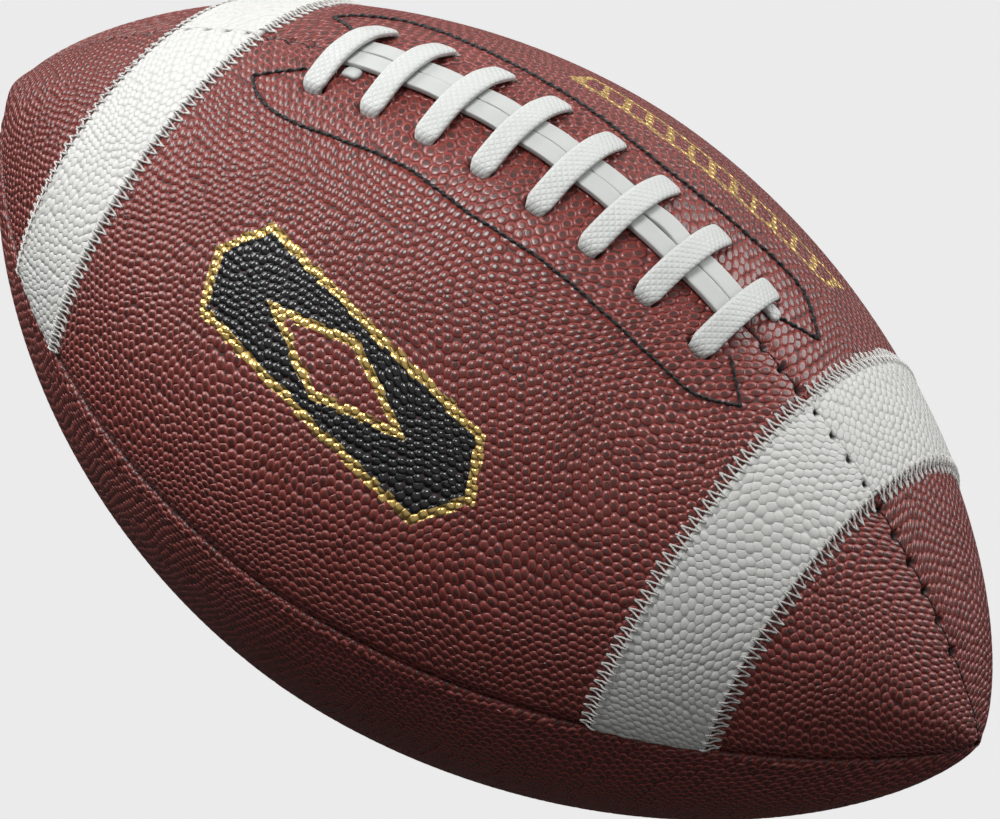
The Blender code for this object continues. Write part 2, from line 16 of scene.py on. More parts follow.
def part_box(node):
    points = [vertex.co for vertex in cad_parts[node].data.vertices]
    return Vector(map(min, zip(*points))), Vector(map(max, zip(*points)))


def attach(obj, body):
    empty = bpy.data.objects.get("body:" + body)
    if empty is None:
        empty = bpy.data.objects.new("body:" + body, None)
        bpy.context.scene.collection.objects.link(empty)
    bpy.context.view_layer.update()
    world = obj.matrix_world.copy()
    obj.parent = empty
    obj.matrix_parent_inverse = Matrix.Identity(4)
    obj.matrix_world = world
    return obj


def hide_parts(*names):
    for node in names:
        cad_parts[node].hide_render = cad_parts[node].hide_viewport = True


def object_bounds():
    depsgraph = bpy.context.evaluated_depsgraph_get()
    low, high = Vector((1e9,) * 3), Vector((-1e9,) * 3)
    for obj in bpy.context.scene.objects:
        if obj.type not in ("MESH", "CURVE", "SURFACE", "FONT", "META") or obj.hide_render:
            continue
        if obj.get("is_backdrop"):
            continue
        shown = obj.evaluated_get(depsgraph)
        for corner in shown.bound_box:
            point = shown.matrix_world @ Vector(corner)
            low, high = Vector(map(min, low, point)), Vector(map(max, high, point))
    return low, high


bl_info = {
    "name": "Laced Football",
    "version": (1, 0, 0),
    "blender": (4, 5, 0),
    "location": "3D View > Sidebar > Football",
    "description": "Builds the finished surfaces of a laced leather football",
    "category": "Object",
}

MM = 0.001

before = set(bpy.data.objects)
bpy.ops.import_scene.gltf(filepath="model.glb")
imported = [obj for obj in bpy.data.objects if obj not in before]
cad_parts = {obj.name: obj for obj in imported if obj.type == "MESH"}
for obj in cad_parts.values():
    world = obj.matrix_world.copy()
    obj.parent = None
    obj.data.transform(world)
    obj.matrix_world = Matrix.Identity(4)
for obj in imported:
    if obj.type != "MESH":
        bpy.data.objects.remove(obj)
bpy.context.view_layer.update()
BELLY_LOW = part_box("panel_lower_front")[0]


# ---------------------------------------------------------------- sizes and colours


def length(name, description, millimetres):
    value = millimetres * MM
    return FloatProperty(name=name, description=description, default=value, unit="LENGTH", precision=5)


def number(name, description, value):
    return FloatProperty(name=name, description=description, default=value)


def colour(name, description, value):
    return FloatVectorProperty(name=name, description=description, default=value, subtype="COLOR", size=3)


class BallShape(bpy.types.PropertyGroup):
    half_length: length("Half length", "Middle of the ball to its nose", 145.0)
    seam_radius: length("Seam radius", "Long axis to a seam at the belly", -BELLY_LOW[2] / MM)
    seam_rise: length("Seam rise", "How far a seam stands out beyond the mean skin", 1.55)
    profile_power: number("Profile power", "Fullness of the belly", 1.907)
    seam_exponent: number("Seam exponent", "Point of the nose at a seam", 0.770)
    panel_exponent: number("Panel exponent", "Point of the nose in a panel", 0.696)
    tip_radius: length("Tip radius", "Skin radius where the panels end", 1.2)
    leather: length("Leather", "Thickness of a panel", 2.2)
    seam_roll: length("Seam roll", "Radius over which an edge turns in", 0.6)
    seam_dip: length("Seam dip", "Depth of the shallow valley along a seam", 0.30)
    stitch_pitch: length("Seam stitch pitch", "Distance between seam stitches", 5.5)


class PebbleLook(bpy.types.PropertyGroup):
    size: length("Pebble size", "Distance between pebbles", 2.15)
    relief: length("Pebble relief", "Height of a pebble in the mesh", 0.13)
    fine_relief: length("Fine relief", "Height of the sharper detail in the material", 0.72)
    # The brown pebble colours hold painted light: the dark tops are partly darker lacquer and partly painted
    # shade, the red rims are the leather's red partly lightened as a painted highlight, and the dark valleys
    # are painted shade in the grooves.
    top: colour("Pebble top", "Darker tops of the brown pebbles", (0.040, 0.0135, 0.0112))
    rim: colour("Pebble rim", "Sides of the brown pebbles", (0.235, 0.041, 0.033))
    valley: colour("Valley", "Grooves between the brown pebbles", (0.048, 0.0078, 0.0063))
    white_top: colour("White top", "Tops of the white pebbles", (0.505, 0.505, 0.485))
    # The white valley colour is painted shade in the grooves between the white pebbles.
    white_valley_shade: colour("White valley", "Grooves between the white pebbles", (0.43, 0.425, 0.41))


class StripeShape(bpy.types.PropertyGroup):
    start: length("Stripe start", "Middle of the ball to the stripe's inner edge", 79.5)
    width: length("Stripe width", "Width of the stripe along the axis", 22.5)
    top: length("Stripe top", "Height of the stripe above the leather", 0.8)
    zigzag_pitch: length("Zigzag pitch", "Distance between zigzag stitches", 2.35)
    zigzag_in: length("Zigzag in", "Reach of the zigzag onto the stripe", 1.3)
    zigzag_out: length("Zigzag out", "Reach of the zigzag onto the leather", 2.7)
    thread: length("Zigzag thread", "Radius of the white thread", 0.24)


class LaceShape(bpy.types.PropertyGroup):
    count: IntProperty(name="Cross laces", description="Number of cross laces", default=8)
    pitch: length("Lace pitch", "Distance between cross laces", 15.9)
    middle: length("Lacing middle", "Middle of the lacing along the axis", 1.1)
    width: length("Lace width", "Width of a cross lace", 6.3)
    thickness: length("Lace thickness", "Thickness of a cross lace", 1.9)
    angle: number("Lace hole angle", "Lacing seam to a lace hole, in degrees", 10.7)
    hole_length: length("Hole length", "Reach of a lace hole along the axis", 3.9)
    hole_width: length("Hole width", "Reach of a lace hole round the ball", 2.3)
    hole_depth: length("Hole depth", "How far the leather is pulled in at a lace hole", 1.9)
    run_width: length("Run width", "Width of each long lace", 5.0)
    run_thickness: length("Run thickness", "Thickness of each long lace", 1.6)
    tint: colour("Lace colour", "Colour of the laces", (0.47, 0.48, 0.465))


class OutlineShape(bpy.types.PropertyGroup):
    radius: length("Thread radius", "Radius of the black thread", 0.40)
    pitch: length("Stitch pitch", "Length of one lock stitch", 2.5)
    ply_pitch: length("Ply pitch", "Length of one turn of the two plies", 1.5)


class BadgeShape(bpy.types.PropertyGroup):
    half_length: length("Badge half length", "Half the length of the stamped badge", 44.0)
    half_height: length("Badge half height", "Half the height of the stamped badge", 13.5)
    outline: length("Badge outline", "Width of the gold outline", 2.1)
    along: length("Badge along", "Place of the badge along the panel", -5.0)
    across: length("Badge across", "Place of the badge across the panel", 8.0)
    turn: number("Badge turn", "Turn of the badge on the panel, in degrees", 10.0)
    gold: colour("Gold", "Colour of the foil", (0.72, 0.50, 0.17))
    ink: colour("Ink", "Colour of the black stamp", (0.008, 0.008, 0.009))


class StageLook(bpy.types.PropertyGroup):
    floor: colour("Floor", "Colour of the plain floor", (0.831, 0.831, 0.831))
    key: number("Overhead light", "Power of the large soft light in watts", 21.5)
    back: number("Back light", "Power of the light behind the ball in watts", 20.0)
    side: number("Side light", "Power of the light to the left in watts", 20.0)
    sky: number("Sky", "Strength of the surrounding light", 0.43)
    focal: number("Focal length", "Focal length of the camera in mm", 220.24)


# ---------------------------------------------------------------- node writing


class Wire:
    """A node socket that adds its Math nodes when it is used in an expression."""

    def __init__(self, tree, socket):
        self.tree = tree
        self.socket = socket

    def math(self, operation, *values):
        return add_node(self.tree, "ShaderNodeMath", {"operation": operation}, dict(enumerate(values)))

    def __add__(self, other):
        return self.math("ADD", self, other)

    def __radd__(self, other):
        return self.math("ADD", other, self)

    def __sub__(self, other):
        return self.math("SUBTRACT", self, other)

    def __rsub__(self, other):
        return self.math("SUBTRACT", other, self)

    def __mul__(self, other):
        return self.math("MULTIPLY", self, other)

    def __truediv__(self, other):
        return self.math("DIVIDE", self, other)

    def absolute(self):
        return self.math("ABSOLUTE", self)

    def least(self, other):
        return self.math("MINIMUM", self, other)

    def most(self, other):
        return self.math("MAXIMUM", self, other)

    def wave(self):
        return self.math("SINE", self)

    def step(self, low, high):
        """0 below low, 1 above high, smooth between them."""
        values = {"Value": self, "From Min": low, "From Max": high}
        return add_node(self.tree, "ShaderNodeMapRange", {"interpolation_type": "SMOOTHSTEP"}, values)


def add_node(tree, kind, settings=None, values=None, output=0):
    """Add a node: its settings first, then the values and links of its sockets."""
    node = tree.nodes.new(kind)
    for name, value in (settings or {}).items():
        setattr(node, name, value)
    for name, value in (values or {}).items():
        socket = node.inputs[name]
        if isinstance(value, Wire):
            tree.links.new(value.socket, socket)
        else:
            socket.default_value = value
    return Wire(tree, node.outputs[output])


def vector_math(tree, operation, *values, output=0):
    return add_node(tree, "ShaderNodeVectorMath", {"operation": operation}, dict(enumerate(values)), output)


def scaled(tree, vector, factor):
    return add_node(tree, "ShaderNodeVectorMath", {"operation": "SCALE"}, {0: vector, "Scale": factor})


def split(tree, vector):
    node = tree.nodes.new("ShaderNodeSeparateXYZ")
    tree.links.new(vector.socket, node.inputs[0])
    return tuple(Wire(tree, output) for output in node.outputs)


def mixed(tree, factor, first, second):
    """Colour between two colours or colour wires."""
    node = tree.nodes.new("ShaderNodeMix")
    node.data_type = "RGBA"
    for socket, value in ((node.inputs[0], factor), (node.inputs[6], first), (node.inputs[7], second)):
        if isinstance(value, Wire):
            tree.links.new(value.socket, socket)
        elif socket is node.inputs[0]:
            socket.default_value = value
        else:
            socket.default_value = (*value, 1.0)
    return Wire(tree, node.outputs[2])


def noise(tree, place, scale, detail, output="Fac"):
    values = {"Vector": place, "Scale": scale, "Detail": detail, "Roughness": 0.5}
    return add_node(tree, "ShaderNodeTexNoise", {"noise_dimensions": "3D"}, values, output)


def object_place(tree):
    return add_node(tree, "ShaderNodeTexCoord", output="Object")


def attribute(tree, name, output="Vector"):
    return add_node(tree, "ShaderNodeAttribute", {"attribute_name": name}, output=output)


def along_and_around(tree):
    """Distances along a lace or thread and round it, from its UV map."""
    return split(tree, add_node(tree, "ShaderNodeUVMap", {"uv_map": "along"}))[:2]


def shade(tint, share):
    return [part * share for part in tint]


class Finish:
    """A material with one Principled shader, filled in by expressions."""

    def __init__(self, name, **constants):
        self.material = bpy.data.materials.new(name)
        self.material.use_nodes = True
        self.tree = self.material.node_tree
        self.shader = self.tree.nodes["Principled BSDF"]
        for socket, value in constants.items():
            self.shader.inputs[socket.replace("_", " ")].default_value = value

    def link(self, socket, wire):
        self.tree.links.new(wire.socket, self.shader.inputs[socket])

    def cover(self, base, rough, height, distance=1.0):
        """Link the colour, the roughness and a height that bumps the surface."""
        self.link("Base Color", base)
        self.link("Roughness", rough)
        values = {"Height": height, "Distance": distance, "Strength": 1.0}
        self.link("Normal", add_node(self.tree, "ShaderNodeBump", None, values))


# ---------------------------------------------------------------- skin of the ball


def shape():
    return bpy.context.scene.football_shape


def skin_radius(x, angle):
    """Distance of the skin from the long axis, for arrays of places and angles."""
    size = shape()
    along = np.clip(1.0 - (np.abs(x) / size.half_length) ** size.profile_power, 0.0, None)
    at_seam = size.seam_radius * along**size.seam_exponent
    at_panel = (size.seam_radius - 2.0 * size.seam_rise) * along**size.panel_exponent
    square = np.cos(4.0 * np.radians(angle))
    return 0.5 * (at_seam + at_panel) + 0.5 * (at_seam - at_panel) * square


def skin_points(x, angle, height=0.0, side=0.0):
    """Points a height above the skin, moved sideways round the axis by a distance."""
    x, angle, height, side = np.broadcast_arrays(x, angle, height, side)
    step = 0.01 * MM
    slope = (skin_radius(x + step, angle) - skin_radius(x - step, angle)) / (2.0 * step)
    steep = np.hypot(slope, 1.0)
    radius = skin_radius(x, angle) + height / steep
    turned = np.radians(angle) + np.arcsin(np.clip(side / np.maximum(radius, 1e-6), -1.0, 1.0))
    return np.stack([x - height * slope / steep, -radius * np.sin(turned), radius * np.cos(turned)], axis=-1)


def skin_normals(x, angle):
    lifted = skin_points(x, angle, 1.0 * MM) - skin_points(x, angle)
    return lifted / np.linalg.norm(lifted, axis=-1, keepdims=True)


def meridian():
    """Places along the axis with their distances along the skin from the belly."""
    size = shape()
    places = size.half_length * np.sin(np.linspace(-0.5 * np.pi, 0.5 * np.pi, 2000))
    radii = skin_radius(places, 45.0)
    steps = np.hypot(np.diff(places), np.diff(radii))
    travelled = np.concatenate([[0.0], np.cumsum(steps)])
    return places, travelled - np.interp(0.0, places, travelled)


def tip_place():
    """Place along the axis where the skin has shrunk to the tip radius."""
    places = np.linspace(0.9 * shape().half_length, shape().half_length, 4000)
    return float(np.interp(-shape().tip_radius, -skin_radius(places, 0.0), places))


# ---------------------------------------------------------------- meshes


def smooth_steps(value, low, high):
    share = np.clip((value - low) / (high - low), 0.0, 1.0)
    return share * share * (3.0 - 2.0 * share)


def scatter(number, seed):
    """Repeatable number between 0 and 1 for each whole number."""
    return np.modf(np.abs(np.sin(np.asarray(number, float) * 12.9898 + seed * 78.233 + 1.7) * 43758.5453))[0]


def unit_slab(name, columns, rows):
    """Closed unit slab with a fine grid on top and a coarse one below, and its points."""
    coarse = 8
    slab = bmesh.new()
    bmesh.ops.create_grid(slab, x_segments=columns, y_segments=rows, size=0.5)
    rim = [edge for edge in slab.edges if edge.is_boundary]
    skirt = bmesh.ops.extrude_edge_only(slab, edges=rim)["geom"]
    hem = [part for part in skirt if isinstance(part, bmesh.types.BMVert)]
    bmesh.ops.translate(slab, verts=hem, vec=(0, 0, -1))
    under = bmesh.ops.create_grid(
        slab,
        x_segments=columns // coarse,
        y_segments=rows // coarse,
        size=0.5,
        matrix=Matrix.Translation((0, 0, -1)),
    )["verts"]
    under_rim = [edge for edge in {edge for vert in under for edge in vert.link_edges} if edge.is_boundary]
    bmesh.ops.subdivide_edges(slab, edges=under_rim, cuts=coarse - 1)
    bmesh.ops.remove_doubles(slab, verts=slab.verts, dist=0.05 / max(columns, rows))
    bmesh.ops.recalc_face_normals(slab, faces=slab.faces)
    mesh = bpy.data.meshes.new(name)
    slab.to_mesh(mesh)
    slab.free()
    return mesh, read_points(mesh)


def unit_tube(rings, sides):
    """Closed unit tube: x runs along it and y goes once round it, kept as its UV map."""
    tube = bmesh.new()
    tube.loops.layers.uv.new("along")
    bmesh.ops.create_grid(tube, x_segments=rings, y_segments=sides, size=0.5, calc_uvs=True)
    return tube


def finish_mesh(name, work, slot, material, node):
    mesh = bpy.data.meshes.new(name)
    work.to_mesh(mesh)
    work.free()
    return finish_object(name, mesh, slot, material, node)


def finish_object(name, mesh, slot, material, *node_names):
    """Object of a finished mesh that rides on the ball and stands for plain nodes."""
    piece = bpy.data.objects.new(name, mesh)
    bpy.context.collection.objects.link(piece)
    mesh.materials.append(material)
    mesh.shade_smooth()
    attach(piece, "root")
    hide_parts(*node_names)
    return piece


def read_points(mesh):
    points = np.empty(len(mesh.vertices) * 3)
    mesh.vertices.foreach_get("co", points)
    return points.reshape(-1, 3)


def write_points(mesh, points):
    """Move the points of a closed mesh and turn its faces outwards again."""
    mesh.vertices.foreach_set("co", np.ascontiguousarray(points, dtype=np.float32).ravel())
    work = bmesh.new()
    work.from_mesh(mesh)
    bmesh.ops.recalc_face_normals(work, faces=work.faces)
    work.to_mesh(mesh)
    work.free()


def add_attribute(mesh, name, kind, values):
    layer = mesh.attributes.new(name, kind, "POINT")
    field = "vector" if kind == "FLOAT_VECTOR" else "value"
    layer.data.foreach_set(field, np.ascontiguousarray(values, dtype=np.float32).ravel())


def sweep(name, path, across, section, slot, material, node):
    """Bar along a path: section gives width and height for each share of a turn and each ring."""
    rings = len(path) - 1
    sides = section.shape[-2]
    tube = unit_tube(rings, sides)
    tangents = np.gradient(path, axis=0)
    tangents /= np.linalg.norm(tangents, axis=1, keepdims=True)
    across = across - tangents * (across * tangents).sum(1, keepdims=True)
    across /= np.linalg.norm(across, axis=1, keepdims=True)
    up = np.cross(across, tangents)
    travelled = np.concatenate([[0.0], np.cumsum(np.linalg.norm(np.diff(path, axis=0), axis=1))])
    if section.ndim == 2:
        section = np.broadcast_to(section, (rings + 1, *section.shape))
    halfway = section[rings // 2]
    girth = np.linalg.norm(np.diff(halfway, axis=0, append=halfway[:1]), axis=1)
    around = np.concatenate([[0.0], np.cumsum(girth)])
    places = path[:, None] + section[..., :1] * across[:, None] + section[..., 1:] * up[:, None]
    uv = tube.loops.layers.uv["along"]
    for vert in tube.verts:
        ring = round((vert.co.x + 0.5) * rings)
        side = round((vert.co.y + 0.5) * sides)
        for loop in vert.link_loops:
            loop[uv].uv = (travelled[ring], around[side])
        vert.co = Vector(places[ring, side % sides])
    bmesh.ops.remove_doubles(tube, verts=tube.verts, dist=0.2e-6)
    bmesh.ops.holes_fill(tube, edges=[edge for edge in tube.edges if edge.is_boundary])
    bmesh.ops.recalc_face_normals(tube, faces=tube.faces)
    return finish_mesh(name, tube, slot, material, node)


def strap_section(width, thickness, sides, crown, power):
    """Rounded flat section, a little fuller in the middle where it is crowned."""
    turns = 2.0 * np.pi * np.arange(sides) / sides
    cosines, sines = np.cos(turns), np.sin(turns)
    wide = 0.5 * width * np.sign(cosines) * np.abs(cosines) ** (2.0 / power)
    high = 0.5 * thickness * np.sign(sines) * np.abs(sines) ** (2.0 / power)
    high = high + crown * (1.0 - (2.0 * wide / width) ** 2)
    return np.stack([wide, high], axis=-1)


def twisted_section(radius, turns_at, sides=8, depth=0.22):
    """Section of a thread of two twisted plies, turned a little further at each ring."""
    spots = 2.0 * np.pi * np.arange(sides) / sides
    reach = radius * (1.0 + depth * np.cos(2.0 * (spots[None] - turns_at[:, None])))
    return np.stack([reach * np.cos(spots)[None], reach * np.sin(spots)[None]], axis=-1)


# ---------------------------------------------------------------- pebbled leather


def pebble_row(tree, spot, shift):
    """Distance to the nearest pebble of one half of a staggered grid, with that pebble's random colour."""
    domain = vector_math(tree, "MULTIPLY", spot, (1.0, 1.0 / math.sqrt(3.0), 0.0))
    domain = vector_math(tree, "ADD", domain, (shift, shift, 0.0))
    values = {"Vector": domain, "Scale": 1.0, "Randomness": 0.30}
    settings = {"feature": "F1", "voronoi_dimensions": "2D"}
    cells = add_node(tree, "ShaderNodeTexVoronoi", settings, values, "Position")
    centre = vector_math(tree, "SUBTRACT", cells, (shift, shift, 0.0))
    centre = vector_math(tree, "MULTIPLY", centre, (1.0, math.sqrt(3.0), 0.0))
    distance = vector_math(tree, "DISTANCE", centre, spot, output="Value")
    return distance, Wire(tree, cells.socket.node.outputs["Color"])


def pebbles(tree, place):
    """Height from 0 in the grooves to 1 on a pebble, distance from its middle, its random share."""
    look = bpy.context.scene.football_pebbles
    grid = scaled(tree, place, 1.0 / look.size)
    bend = noise(tree, grid, 0.055, 1.0, "Color")
    bend = vector_math(tree, "SUBTRACT", bend, (0.5, 0.5, 0.5))
    bend = vector_math(tree, "MULTIPLY", bend, (5.5, 5.5, 0.0))
    spot = vector_math(tree, "ADD", vector_math(tree, "MULTIPLY", grid, (1.0, 1.0, 0.0)), bend)
    first, first_colour = pebble_row(tree, spot, 0.0)
    second, second_colour = pebble_row(tree, spot, 0.5)
    nearest = first.least(second)
    rival = first.most(second)
    groove = (rival - nearest).step(0.0, 0.20)
    picked = first.math("LESS_THAN", first, second)
    red, _, _ = split(tree, first_colour)
    other, _, _ = split(tree, second_colour)
    own = red * picked + other * (1.0 - picked)
    pebble_reach = 0.61
    dome = 1.0 - nearest.math("POWER", nearest / pebble_reach, 2.8)
    _, v, _ = split(tree, place)
    dish = (1.0 - nearest * nearest * 8.0).most(0.0) * (v * -1.0).step(30.0 * MM, 48.0 * MM)
    # Pebbles toward the lacing are pressed a little hollow in their middle.
    height = dome.most(0.0) * (groove * 0.35 + 0.65) * (0.88 + own * 0.12) - dish * 0.22
    return height, nearest, own


def named_attribute(tree, name, kind):
    return add_node(tree, "GeometryNodeInputNamedAttribute", {"data_type": kind}, {"Name": name})


def relief_nodes():
    """Geometry nodes that raise the pebbles where the relief attribute allows it."""
    tree = bpy.data.node_groups.new("pebble_relief", "GeometryNodeTree")
    tree.interface.new_socket(name="Geometry", in_out="INPUT", socket_type="NodeSocketGeometry")
    tree.interface.new_socket(name="Geometry", in_out="OUTPUT", socket_type="NodeSocketGeometry")
    entry = tree.nodes.new("NodeGroupInput")
    leave = tree.nodes.new("NodeGroupOutput")
    place = named_attribute(tree, "place", "FLOAT_VECTOR")
    allowed = named_attribute(tree, "relief", "FLOAT")
    height = pebbles(tree, place)[0]
    lift = (height - 0.55) * allowed * bpy.context.scene.football_pebbles.relief
    normal = add_node(tree, "GeometryNodeInputNormal")
    offset = scaled(tree, normal, lift)
    values = {"Geometry": Wire(tree, entry.outputs[0]), "Offset": offset}
    moved = add_node(tree, "GeometryNodeSetPosition", None, values)
    tree.links.new(moved.socket, leave.inputs[0])
    return tree


def raise_pebbles(piece):
    """Raise the pebbles in the mesh and keep the result."""
    tree = bpy.data.node_groups.get("pebble_relief") or relief_nodes()
    modifier = piece.modifiers.new("pebbles", "NODES")
    modifier.node_group = tree
    graph = bpy.context.evaluated_depsgraph_get()
    shown = piece.evaluated_get(graph)
    raised = bpy.data.meshes.new_from_object(shown, preserve_all_data_layers=True, depsgraph=graph)
    piece.modifiers.clear()
    old = piece.data
    piece.data = raised
    bpy.data.meshes.remove(old)
    raised.name = piece.name


def stamped_badge(tree, place, own):
    """Masks of foil and ink for a long six-sided badge with a lozenge left open in its middle."""
    badge = bpy.context.scene.football_badge
    turn = math.radians(badge.turn)
    u, v, _ = split(tree, place)
    u = u - badge.along
    v = v - badge.across
    p = u * math.cos(turn) + v * math.sin(turn)
    q = v * math.cos(turn) - u * math.sin(turn)
    sides = (p.absolute() - badge.half_length) * 0.866 + q.absolute() * 0.5
    lozenge = (p.absolute() - badge.half_length * 0.40) * 0.35 + q.absolute() * 0.937
    edge = (q.absolute() - badge.half_height).most(sides).most(lozenge * -1.0)
    edge = edge + (own - 0.5) * (0.9 * MM)
    whole = 1.0 - edge.step(-0.1 * MM, 0.1 * MM)
    ink = 1.0 - edge.step(-badge.outline - 0.1 * MM, -badge.outline + 0.1 * MM)
    return whole, ink


def stamped_band(tree, place, own):
    """Masks for a row of slanted boxes drawn in thin gold lines beside the lacing, with no ink."""
    band_along, band_across, bend, slant = 24.0 * MM, -27.0 * MM, 3.69, 0.4
    half_length, half_height, half_box = 38.0 * MM, 5.4 * MM, 3.1 * MM
    line, gap = 1.5 * MM, 0.9 * MM
    u, v, _ = split(tree, place)
    v = v - band_across - u * u * bend
    u = u - band_along
    slanted = u + v * slant
    cell = slanted.math("PINGPONG", slanted, half_box)
    band = (v.absolute() - half_height).most(u.absolute() - half_length)
    rough_edge = (own - 0.5) * (0.8 * MM)
    inner = (band + line).most(gap - cell) + rough_edge
    whole = (1.0 - (band + rough_edge).step(-0.2 * MM, 0.2 * MM)) * inner.step(-0.2 * MM, 0.2 * MM)
    no_ink = whole * 0.0
    return whole * 0.72, no_ink


def brown_leather(name, stamp=None):
    """Tacky pebbled leather: dark grooves of painted shade, red sides partly lightened as a painted
    highlight, dark tops that are partly darker lacquer and partly painted shade, and an optional foil stamp.
    """
    look = bpy.context.scene.football_pebbles
    badge = bpy.context.scene.football_badge
    finish = Finish(name, Specular_IOR_Level=0.55)
    tree = finish.tree
    place = attribute(tree, "place")
    height, middle, own = pebbles(tree, place)
    world = object_place(tree)
    patches = noise(tree, world, 28.0, 3.0)
    grain = noise(tree, world, 2600.0, 2.0)
    top = mixed(tree, patches.step(0.3, 0.72), look.top, shade(look.top, 1.35))
    top = mixed(tree, own * 0.3, top, look.rim)
    # Dark tops inside red rings: the rings are partly a painted highlight and the tops partly painted shade.
    ring = (0.35 - middle + grain * 0.06).step(0.0, 0.14)
    side = mixed(tree, ring, look.rim, top)
    # Painted shade: the grooves between the pebbles take the dark valley colour.
    base = mixed(tree, height.step(0.04, 0.36), look.valley, side)
    # Painted shade: the colour turns nearly black in the seam, stitch and lace-hole recesses, which are also
    # made rougher.
    recess_shade = attribute(tree, "recess_shade", "Fac")
    base = mixed(tree, recess_shade, base, (0.006, 0.003, 0.003))
    rough = 0.58 + grain * 0.10 - height.step(0.15, 0.75) * 0.35 + recess_shade * 0.3
    bump = height * look.fine_relief + grain * (0.02 * MM)
    if stamp:
        whole, ink = stamp(tree, place, own)
        worn = noise(tree, world, 900.0, 3.0)
        kept = ((height * 0.9 + worn * 0.9).step(0.34, 0.52)) * whole
        foil = mixed(tree, ink, badge.gold, badge.ink)
        base = mixed(tree, kept, base, foil)
        metal = kept * (1.0 - ink)
        finish.link("Metallic", metal * 0.92)
        rough = rough - metal * 0.10 - kept * ink * 0.12
    finish.cover(base, rough, bump)
    return finish.material


def white_leather(name):
    look = bpy.context.scene.football_pebbles
    finish = Finish(name, Specular_IOR_Level=0.4)
    tree = finish.tree
    place = attribute(tree, "place")
    height, _, _ = pebbles(tree, place)
    world = object_place(tree)
    patches = noise(tree, world, 35.0, 4.0)
    grain = noise(tree, world, 2600.0, 2.0)
    top = mixed(tree, patches.step(0.3, 0.75) * 0.35, look.white_top, shade(look.white_top, 0.86))
    # Painted shade: the grooves between the white pebbles are darker.
    base = mixed(tree, height.step(0.0, 0.35), look.white_valley_shade, top)
    # Painted shade: the colour turns nearly black in the seam and stitch recesses.
    recess_shade = attribute(tree, "recess_shade", "Fac")
    base = mixed(tree, recess_shade, base, (0.02, 0.018, 0.016))
    rough = 0.52 + grain * 0.12 - height * 0.06
    finish.cover(base, rough, height * (look.fine_relief * 0.42) + grain * (0.02 * MM))
    return finish.material


# ---------------------------------------------------------------- laces and threads


def lace_finish(name, woven):
    """Vinyl lace: an embossed diagonal weave, or the smooth face of a long lace."""
    # The smooth long laces take the lace colour darkened: painted shade on the same vinyl as the woven laces.
    tint = shade(bpy.context.scene.football_laces.tint, 1.0 if woven else 0.88)
    finish = Finish(name, Specular_IOR_Level=0.45)
    tree = finish.tree
    u, v = along_and_around(tree)
    world = object_place(tree)
    grain = noise(tree, world, 1900.0, 3.0)
    soil = noise(tree, world, 90.0, 4.0)
    pitch = 2.0 * math.pi / (3.8 * MM)
    base = mixed(tree, soil.step(0.45, 0.8) * 0.5, tint, shade(tint, 0.86))
    if woven:
        weave = ((u + v) * pitch).wave().absolute().least(((u - v) * pitch).wave().absolute())
        # Painted shade: the grooves of the embossed weave are darkened.
        base = mixed(tree, (1.0 - weave) * 0.13, base, shade(tint, 0.62))
        height = weave * (0.13 * MM) + grain * (0.02 * MM)
    else:
        height = (u * (pitch * 0.11)).wave() * (0.006 * MM) + grain * (0.015 * MM)
    finish.cover(base, 0.44 + grain * 0.12, height)
    return finish.material


def thread_finish(name, tint, gloss, fuzz):
    """Twisted thread with fine fibres lying along it."""
    finish = Finish(name, Sheen_Weight=0.08, Specular_IOR_Level=0.35)
    tree = finish.tree
    u, v = along_and_around(tree)
    world = object_place(tree)
    fibres = ((u * 2.2 + v) * (2.0 * math.pi / (0.22 * MM))).wave() * 0.5 + 0.5
    grain = noise(tree, world, 3500.0, 2.0)
    base = mixed(tree, fibres * 0.35 + grain * fuzz, tint, shade(tint, 0.55))
    finish.cover(base, gloss + grain * 0.2, fibres * (0.05 * MM) + grain * (0.03 * MM))
    return finish.material


def material_once(name, maker, *arguments):
    return bpy.data.materials.get(name) or maker(name, *arguments)


# ---------------------------------------------------------------- panels and stripes


def lace_places():
    laces = bpy.context.scene.football_laces
    first = laces.middle - 0.5 * (laces.count - 1) * laces.pitch
    return first + laces.pitch * np.arange(laces.count)


def seam_depth(x, distance, roll, pitch, seed):
    """Depth of the skin near a seam: a rolled edge, a shallow dip and the pull of the stitches."""
    size = shape()
    phase = x / pitch
    pull = 0.5 + 0.5 * np.cos(2.0 * np.pi * phase)
    uneven = 0.75 + 0.5 * scatter(np.floor(phase + 0.5), seed)
    radius = roll * (1.0 + 0.25 * pull * uneven)
    inside = np.clip(1.0 - distance / radius, 0.0, 1.0)
    rolled = radius * (1.0 - np.sqrt(np.clip(1.0 - inside**2, 0.0, 1.0)))
    dip = size.seam_dip * (0.7 + 0.6 * pull * uneven) * np.exp(-((distance / (2.2 * MM)) ** 2))
    return rolled + dip


def panel_columns(rows, width):
    """Shares of a quarter turn, closer together at both seams."""
    fine = np.array([0.0, 0.12, 0.3, 0.55, 0.85, 1.2, 1.6, 2.1, 2.7]) * MM / width
    middle = np.linspace(3.4 * MM / width, 1.0 - 3.4 * MM / width, rows + 1 - 2 * len(fine))
    return np.concatenate([fine, middle, 1.0 - fine[::-1]])


def lacing_slit(x):
    """1 along the lacing, where the seam stays open, and 0 beyond it."""
    first, last = lace_places()[[0, -1]]
    opened = smooth_steps(x, first - 7.0 * MM, first - 4.0 * MM)
    return opened * (1.0 - smooth_steps(x, last + 4.0 * MM, last + 7.0 * MM))


def hollow(spread):
    """1 in the middle of a pulled-in spot, falling to 0 at a spread of 1."""
    return 1.0 - smooth_steps(spread, 0.45, 1.0)


